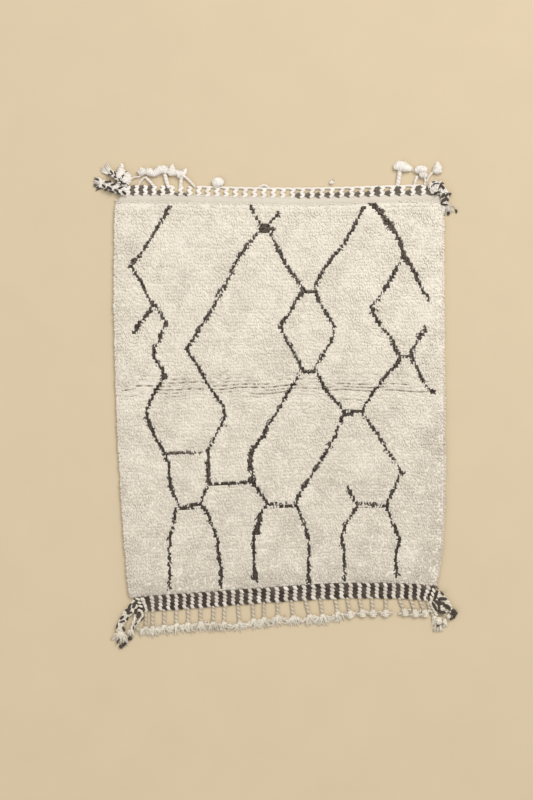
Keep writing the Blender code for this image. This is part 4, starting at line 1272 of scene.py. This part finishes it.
class RUG_OT_pile(Operator):
    """Knot the pile: two cut yarn ends to each knot, a third along the sides, and the chart's dark lines"""

    bl_idname = "rug.pile"
    bl_label = "Pile and dark lines"

    def execute(self, context):
        sizes = context.scene.rug_sizes
        rows, columns, covered = knot_counts(sizes)
        shares, overs = (np.arange(rows) + 0.5) / rows * covered, (np.arange(columns) + 0.5) / columns
        share, across = np.meshgrid(shares, overs, indexing="ij")
        x, y, left, right = place(share, across)
        line = np.arange(rows)[:, None] - fold_line(rows, covered)
        chance = np.random.default_rng(23)
        top, roll = pile_top(x, left, right, sizes)
        top = top + 0.0007 * drift(x, y, 0.05, chance) + 0.0006 * drift(x, y, 0.16, chance) - low_drop(share)
        outward = np.where(x < (left + right) / 2, -1.0, 1.0)
        near_fold = np.exp(-(((y - FOLD_Y) / FOLD_CALM) ** 2))
        groove_below, groove_above = groove_depth(line, x), groove_depth(line + 1, x)
        by_groove = np.maximum(groove_below, groove_above)
        parting = groove_below - groove_above
        first_row = np.clip(1 - share * LENGTH / FIRST_ROWS, 0, 1)
        last_row = np.clip(1 - (covered - share) * LENGTH / LAST_ROWS, 0, 1)
        lay_x = 0.0030 * drift(x, y, 0.07, chance) + 0.0018 * drift(x, y, 0.02, chance)
        lay_x = lay_x * (1 - 0.8 * roll) + outward * SIDE_LEAN * roll**1.5
        lay_y = -sizes.lay * (1 - 0.45 * near_fold) + 0.0022 * drift(x, y, 0.06, chance)
        lay_y = lay_y * (1 - roll * 0.5) * (1 - by_groove) * (1 - 0.9 * first_row) + STRIP_LEAN * last_row
        droop = 0.0014 + 0.006 * roll + 0.004 * first_row + 0.0025 * last_row
        down = 1 - share / covered
        cream_tone_and_shade = pile_tone_and_shade(x, y, share, down, chance)
        everywhere = np.ones(x.shape, bool)
        at_edge = np.zeros(x.shape, bool)
        at_edge[:, [0, -1]] = True
        ends = []
        for offset, up, where in (
            (-KNOT_SPLIT, 0.0, everywhere),
            (KNOT_SPLIT, 0.0, everywhere),
            (KNOT_SPLIT * outward, 0.5, at_edge),
        ):
            start_x = x + offset * sizes.knot_width
            start_x = start_x + chance.normal(0, ACROSS_STRAY, x.shape) * (1 - 0.7 * roll)
            start_y = y + up * sizes.knot_row + ABOVE_ROW * (1 - by_groove)
            start_y = start_y + chance.normal(0, DOWN_STRAY, x.shape) * (1 - 0.3 * by_groove)
            start_y = start_y + ROOT_PARTING * parting
            inside, dark_tone = chart_distance(start_x + 0.7 * lay_x, start_y + 0.7 * lay_y)
            dark = inside + chance.normal(0, RAGGED, x.shape) > 0
            stray = np.where(dark, DARK_STRAY, PALE_STRAY) * chance.normal(0, 1, x.shape)
            reach_x = lay_x + stray * (1 - 0.75 * roll)
            stray = PALE_STRAY * chance.normal(0, 1, x.shape)
            reach_y = lay_y + stray * (1 - 0.3 * by_groove) + TIP_PARTING * parting
            height = top + chance.normal(0, 0.0006, x.shape) + np.where(dark, 0.0008, 0.0) - 0.0035 * last_row
            fall = droop * chance.uniform(0.7, 1.3, x.shape)
            spots = []
            for part, below, drooping in END_POINTS:
                level = height - below - drooping * fall
                spots.append(np.stack([start_x + part * reach_x, start_y + part * reach_y, level], 2))
            spots[-1][..., 2] = np.maximum(spots[-1][..., 2], LEAST_TIP)
            radius = sizes.yarn_end * chance.uniform(0.84, 1.16, x.shape)
            radius = radius * np.where(dark, 0.82, 1.0) * (1 - 0.20 * by_groove)
            # Painted shade: the dark lines deepen towards the bottom end, as the cream does
            dark_tone_and_shade = dark_tone + 0.15 - 0.35 * down + chance.normal(0, 0.16, x.shape)
            tone = np.where(dark, dark_tone_and_shade, cream_tone_and_shade + chance.normal(0, 0.06, x.shape))
            ends.append((spots, radius, np.clip(tone, 0, 1), dark & where, ~dark & where))
        quarter = np.broadcast_to((np.arange(rows) * 4 // rows)[:, None], x.shape)
        groups = [(f"pile_light_{number + 1}", pale_wool(), number) for number in range(4)]
        groups.append(("pile_dark_lines", dark_wool(), None))
        for name, material, number in groups:
            chosen = [end[3] if number is None else (quarter == number) & end[4] for end in ends]
            picked = list(zip(ends, chosen))
            paths = [np.concatenate([end[0][step][pick] for end, pick in picked]) for step in range(4)]
            radius, tones = (np.concatenate([end[column][pick] for end, pick in picked]) for column in (1, 2))
            yarn_ends(paths, radius, tones, chance).piece(name, material, "cream_pile")
        width, length = float(right_edge(0.0) - left_edge(0.0)), LENGTH
        return {"FINISHED"}


def pile_tone_and_shade(x, y, share, down, chance):
    """Tone of the cream pile from place to place: random patches, horizontal streaks of painted shadow
    between the rows, and painted shade that deepens it down the rug, most at the bottom end and towards the
    lower right.
    """
    # Painted shade: the cream deepens down the rug, most in the last rows at the bottom end and towards the
    # lower right
    end_shade = np.clip(1 - share * LENGTH / END_SHADE_REACH, 0, 1)
    lower_right_shade = np.clip((x - RIGHT_SHADE_START) / RIGHT_FADE, 0, 1) * np.clip((SHADE_BELOW - y) / BELOW_FADE, 0, 1)
    cream_tone_and_shade = 0.31 + 0.10 * drift(x, y, 0.12, chance) + 0.40 * down**1.6
    # Painted shadow between the rows of knots, as horizontal streaks
    row_shadow_streak = drift(0.15 * x, y, 0.020, np.random.default_rng(29))
    return cream_tone_and_shade + 0.35 * end_shade + 0.30 * lower_right_shade + 0.13 * row_shadow_streak


def low_band_turn(x):
    """How far the bottom band turns towards its plaits at a place, as an angle."""
    left = np.clip((LEFT_TURN.start - x) / LEFT_TURN.reach, 0, 1)
    right = np.clip((x - RIGHT_TURN.start) / RIGHT_TURN.reach, 0, 1)
    return LEFT_TURN.angle * left**1.2 - RIGHT_TURN.angle * right**1.2


def low_band_point(x, share, sizes):
    """A point of the bottom band: share is 0 at its lower edge and 1 beside the pile."""
    turn = low_band_turn(x)
    off = sizes.low_band * (share - 0.5)
    middle = bottom_edge(x) - JOIN_GAP - sizes.low_band / 2 - 0.010 * turn**2
    return np.array((x - off * math.sin(turn), middle + off * math.cos(turn), 0.0))


class RUG_OT_bottom_band(Operator):
    """Twine the bottom band: slanted dark and white stitches in rows, over a thin core"""

    bl_idname = "rug.bottom_band"
    bl_label = "Bottom band"

    def execute(self, context):
        sizes = context.scene.rug_sizes
        chance = np.random.default_rng(31)
        white, dark = Fleece(), Fleece()
        width = sizes.low_band / sizes.twined_rows * 1.20
        core = np.linspace(BAND_LEFT + 0.002, BAND_RIGHT - 0.002, 60)
        core = [low_band_point(x, 0.5, sizes) + UP * 0.0050 for x in core]
        tube(dark, core, sizes.low_band * 0.46, 0.3, sides=8, flat=0.055)
        starts = [BAND_LEFT]
        places, shares = zip(*STRIPES)
        while starts[-1] < BAND_RIGHT:
            starts.append(starts[-1] + sizes.stripe * np.interp(starts[-1], places, shares))
        for row in range(sizes.twined_rows):
            share = (row + 0.5) / sizes.twined_rows * BAND_OVERLAP
            rise = BAND_RISE * np.clip((share - 0.45) / 0.5, 0, 1) ** 1.5
            for start, end in zip(starts[:-1], starts[1:]):
                for fleece, offset, wide, extra, lift, usual in (
                    (dark, 0.0, 0.60, 0.0052, 0.0008, 0.15),
                    (white, 0.60, 0.40, 0.0085, 0.0, 0.75),
                ):
                    length = (end - start) * wide
                    x = start + (end - start) * offset + length / 2 + chance.normal(0, 0.0004)
                    if x > BAND_RIGHT - 0.004:
                        continue
                    slant = BAND_SLANT + (math.atan(bottom_edge.deriv()(x)) + low_band_turn(x))
                    centre = low_band_point(x, share, sizes) + BAND_STITCH + UP * rise
                    centre += (0.0, chance.normal(0, 0.0004), lift)
                    tone = uneven_tone(chance, usual, 0.20)
                    stitch(fleece, centre, slant, length + extra, width, TWINED_HEIGHT, tone)
        # The dark cord along the band's top is partly the band's own dark yarn row and partly painted shadow
        # under the pile's bottom edge
        edge = np.linspace(BAND_LEFT, BAND_RIGHT, 90)
        edge = [low_band_point(x, BAND_OVERLAP, sizes) + BAND_EDGE for x in edge]
        two_ply(dark, edge, 0.0009, 0.010, 0.0012, 0.4, sides=5)
        dark_piece = dark.piece("bottom_band_dark", dark_band_wool(), "twined_wool")
        white.piece("bottom_band_white", white_band_wool(), "twined_wool")
        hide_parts("bottom_band")
        return {"FINISHED"}


class RUG_OT_bottom_fringe(Operator):
    """Twist the bottom fringe's cords, tie their knots and fray their ends"""

    bl_idname = "rug.bottom_fringe"
    bl_label = "Bottom fringe"

    def execute(self, context):
        sizes = context.scene.rug_sizes
        chance = np.random.default_rng(41)
        fleece = Fleece()
        for spec in CORDS:
            root = low_band_point(spec.x, 0.0, sizes)
            knot = root + np.array((spec.slant, -spec.length, 0.0))
            bend = (root + knot) / 2 + np.array((chance.uniform(-0.0015, 0.0015), 0, 0))
            path = [root + CORD_LEVEL + np.array((0, 0.004, 0)), bend + CORD_LEVEL, knot + CORD_LEVEL]
            # The second ply's deeper tone is painted shade that marks the cord's twist, over each ply's
            # uneven tone
            tones = (chance.uniform(0.30, 0.55), chance.uniform(0.90, 1.0))
            cord((fleece, fleece), smooth(path, 0.003), sizes.cord_width, tones, CORD_PITCH)
            ahead = knot - root
            ahead /= np.linalg.norm(ahead)
            coil(fleece, knot + KNOT_LEVEL, ahead, chance.uniform(0.1, 0.4), chance)
            end = knot + ahead * KNOT_END
            if spec.style == "ball":
                bulk = [end + ahead * reach + UP * 0.0085 for reach in (-0.005, 0.005, 0.015)]
                puff(fleece, bulk, (0.014, 0.022, 0.023, 0.015), 0.014, 0.12, chance)
            style = TUFTS[spec.style]
            heading = math.atan2(ahead[1], ahead[0]) + style.turn
            bunch = (spec.tuft + style.more, style.width, style.strands, style.tone)
            tuft(fleece, end, heading, style.fan, *bunch, chance, style.curl, style.height, style.yarn)
        piece = fleece.piece("bottom_fringe", warp_wool(), "cream_fringe")
        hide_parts("bottom_band")
        return {"FINISHED"}


def top_band_point(x, share, sizes):
    """A point of the top band: share is 0 beside the ground and 1 at its upper edge."""
    return np.array((x, top_edge(x) + JOIN_GAP + sizes.top_band * share, 0.0))


def gap_rows(number):
    """Which rows of dark stitches fill the gap after one of the bars."""
    for gaps in GAPS:
        if gaps.first <= number <= gaps.last:
            return range(gaps.low, gaps.high)
    return range(0)


class RUG_OT_top_band(Operator):
    """Wrap the top band's white bars and stitch the dark fillings between them"""

    bl_idname = "rug.top_band"
    bl_label = "Top band"

    def execute(self, context):
        sizes = context.scene.rug_sizes
        chance = np.random.default_rng(53)
        white, dark = Fleece(), Fleece()
        step = sizes.top_band / WRAPS
        for number in range(BARS):
            x = bar_x(number)
            slope = math.atan(top_edge.deriv()(x))
            for row in range(WRAPS):
                side = 1 if row % 2 else -1
                centre = top_band_point(x + side * WRAP_SWING, (row + 0.5) / WRAPS, sizes) + BAND_STITCH
                slant = slope - side * WRAP_SLANT
                tone = uneven_tone(chance, 0.12, 0.12)
                stitch(white, centre, slant, WRAP_LENGTH, step * 1.25, WRAP_HEIGHT, tone)
            gap = bar_x(number + 1) - x
            for row in gap_rows(number):
                side = 1 if row % 2 else -1
                centre = top_band_point(x + gap / 2, (row + 0.5) / WRAPS, sizes) + FILLING_LEVEL
                slant = slope + side * FILLING_SLANT
                tone = uneven_tone(chance, 0.85, 0.15)
                stitch(dark, centre, slant, gap - BAR_CORE, step * 1.2, FILLING_HEIGHT, tone)
        rail = np.linspace(RAIL_LEFT, RAIL_RIGHT, 120)
        rail = [top_band_point(x, 0.0, sizes) + np.array((0, 0.0012, 0.0045)) for x in rail]
        two_ply(white, rail, 0.0010, 0.011, 0.0015, 0.5, sides=5)
        arcs = []
        for number in range(FIRST_ARC, BARS):
            x = bar_x(number)
            arcs.append(top_band_point(x, 0.97, sizes) + UP * 0.0045)
            if number < BARS - 1:
                arcs.append(top_band_point((x + bar_x(number + 1)) / 2, 1.02, sizes) + UP * 0.0040)
        two_ply(white, smooth(arcs, 0.004), 0.0017, 0.012, 0.0021, 0.1, sides=6)
        white_piece = white.piece("top_band_white", white_band_wool(), "cream_fringe")
        dark.piece("top_band_dark", dark_band_wool(), "twined_wool")
        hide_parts("top_band")
        return {"FINISHED"}


def metres(millimetres):
    """A table's millimetres in metres."""
    return np.array(millimetres, float) / 1000


def tie(part, wools, chance):
    """Make one part of a fringe or tassel from the wools that it names."""
    fleeces = [wools[name] for name in part.yarns.split()]
    fleece = fleeces[0]
    tone = float(chance.uniform(0.0, 0.25))
    if isinstance(part, Plait):
        plait(fleece, metres(part.path), metres(part.widths), part.height / 1000, chance)
    elif isinstance(part, Crossing):
        size = metres((part.length, part.width, CROSSING_HEIGHT))
        for level in (part.z, CROSSING_BELOW):
            stitch(fleece, metres((part.x, part.y, level)), math.radians(part.slant), *size, tone)
    elif isinstance(part, Twist):
        pair = (fleece, fleeces[-1])
        cord(pair, smooth(metres(part.path), 0.003), part.width / 1000, part.tones, part.pitch / 1000)
    elif isinstance(part, Ball):
        height, yarn = metres((part.height, part.yarn))
        puff(fleece, metres(part.path), metres(part.widths), height, tone, chance, yarn)
    elif isinstance(part, Frayed):
        heading, fan = math.radians(part.heading), math.radians(part.fan)
        length, width, height, yarn = metres((part.length, part.width, part.height, part.yarn))
        bunch = (length, width, part.strands, tone)
        tuft(fleece, metres((*part.root, 0)), heading, fan, *bunch, chance, part.curl, height, yarn)
    else:
        tangle(fleeces, metres(part.centre), part.width / 1000, part.height / 1000, part.loops, chance)


class RUG_OT_top_fringe(Operator):
    """Tie the top fringe's knotted cords, balls and frayed cones"""

    bl_idname = "rug.top_fringe"
    bl_label = "Top fringe"

    def execute(self, context):
        chance = np.random.default_rng(61)
        fleece = Fleece()
        for part in TOP_FRINGE:
            tie(part, {"white": fleece}, chance)
        piece = fleece.piece("top_fringe", white_band_wool(), "cream_fringe")
        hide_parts("top_band")
        return {"FINISHED"}


class RUG_OT_corners(Operator):
    """Plait the four corner tassels in white with dark yarn crossing over, and fray their ends"""

    bl_idname = "rug.corners"
    bl_label = "Corner tassels"

    def execute(self, context):
        for seed, (corner, parts) in enumerate(TASSELS.items(), 71):
            chance = np.random.default_rng(seed)
            wools = {"white": Fleece(), "dark": Fleece()}
            for part in parts:
                tie(part, wools, chance)
            dark = wools["dark"].piece(f"tassel_{corner}_dark", dark_band_wool(), "plaited_wool")
            pale = warp_wool() if corner.startswith("bottom") else white_band_wool()
            wools["white"].piece(f"tassel_{corner}_white", pale, "plaited_wool")
            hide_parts(f"corner_tassel_{corner}")
        return {"FINISHED"}


class RUG_OT_stage(Operator):
    """Lay the plain floor, and set the soft lights and the camera that looks straight down"""

    bl_idname = "rug.stage"
    bl_label = "Floor, lights and camera"

    def execute(self, context):
        scene = context.scene
        mesh = bpy.data.meshes.new("floor")
        corners = ((-1, -1), (1, -1), (1, 1), (-1, 1))
        corners = [(side * FLOOR_REACH, end * FLOOR_REACH, FLOOR_LEVEL) for side, end in corners]
        mesh.from_pydata(corners, [], [(0, 1, 2, 3)])
        mesh.materials.append(plain_floor())
        floor = bpy.data.objects.new("floor", mesh)
        scene.collection.objects.link(floor)
        world = bpy.data.worlds.new("soft_room")
        scene.world = world
        world.use_nodes = True
        background = world.node_tree.nodes["Background"]
        background.inputs["Color"].default_value = DAYLIGHT
        background.inputs["Strength"].default_value = AMBIENT
        for spec in LAMPS:
            lamp = bpy.data.lights.new(spec.name, "AREA")
            lamp.size = spec.size
            lamp.energy = spec.power
            lamp.color = LAMPLIGHT
            thing = bpy.data.objects.new(spec.name, lamp)
            thing.location = spec.place
            thing.rotation_euler = (-Vector(spec.place)).to_track_quat("-Z", "Y").to_euler()
            thing.visible_camera = False
            scene.collection.objects.link(thing)
        lens = bpy.data.cameras.new("camera")
        camera = bpy.data.objects.new("camera", lens)
        camera.location = (*VIEW_CENTRE, VIEW_DISTANCE)
        lens.sensor_width = SENSOR
        lens.lens = SENSOR * VIEW_DISTANCE / VIEW_HEIGHT
        lens.clip_end = 100.0
        scene.collection.objects.link(camera)
        scene.camera = camera
        scene.view_settings.view_transform = "Standard"
        return {"FINISHED"}


def plain_floor():
    """Pale matt floor with faint clouds."""
    material = bpy.data.materials.new("plain_floor")
    material.use_nodes = True
    tree = material.node_tree
    shader = tree.nodes["Principled BSDF"]
    where = tree.nodes.new("ShaderNodeTexCoord").outputs["Object"]
    light = bpy.context.scene.rug_colours.floor
    shade = [channel * 0.93 for channel in light]
    clouds = noise(tree, where, scale=6.0, detail=6.0)
    tree.links.new(blend(tree, clouds, (*light, 1), (*shade, 1)), shader.inputs["Base Color"])
    shader.inputs["Roughness"].default_value = 0.9
    shader.inputs["Specular IOR Level"].default_value = 0.1
    return material


class RUG_PT_panel(Panel):
    """Buttons that make the rug's pieces one after the other"""

    bl_label = "Knotted rug"
    bl_idname = "RUG_PT_panel"
    bl_space_type = "VIEW_3D"
    bl_region_type = "UI"
    bl_category = "Rug"

    def draw(self, context):
        for operator in OPERATORS:
            self.layout.operator(operator.bl_idname)


OPERATORS = (
    RUG_OT_ground,
    RUG_OT_pile,
    RUG_OT_bottom_band,
    RUG_OT_bottom_fringe,
    RUG_OT_top_band,
    RUG_OT_top_fringe,
    RUG_OT_corners,
    RUG_OT_stage,
)
CLASSES = (RugSizes, RugColours, *OPERATORS, RUG_PT_panel)


def register():
    for kind in CLASSES:
        bpy.utils.register_class(kind)
    bpy.types.Scene.rug_sizes = PointerProperty(type=RugSizes)
    bpy.types.Scene.rug_colours = PointerProperty(type=RugColours)


def unregister():
    del bpy.types.Scene.rug_colours
    del bpy.types.Scene.rug_sizes
    for kind in reversed(CLASSES):
        bpy.utils.unregister_class(kind)


def main():
    register()
    for operator in (
        bpy.ops.rug.ground,
        bpy.ops.rug.pile,
        bpy.ops.rug.bottom_band,
        bpy.ops.rug.bottom_fringe,
        bpy.ops.rug.top_band,
        bpy.ops.rug.top_fringe,
        bpy.ops.rug.corners,
        bpy.ops.rug.stage,
    ):
        operator()


if __name__ == "__main__":
    main()
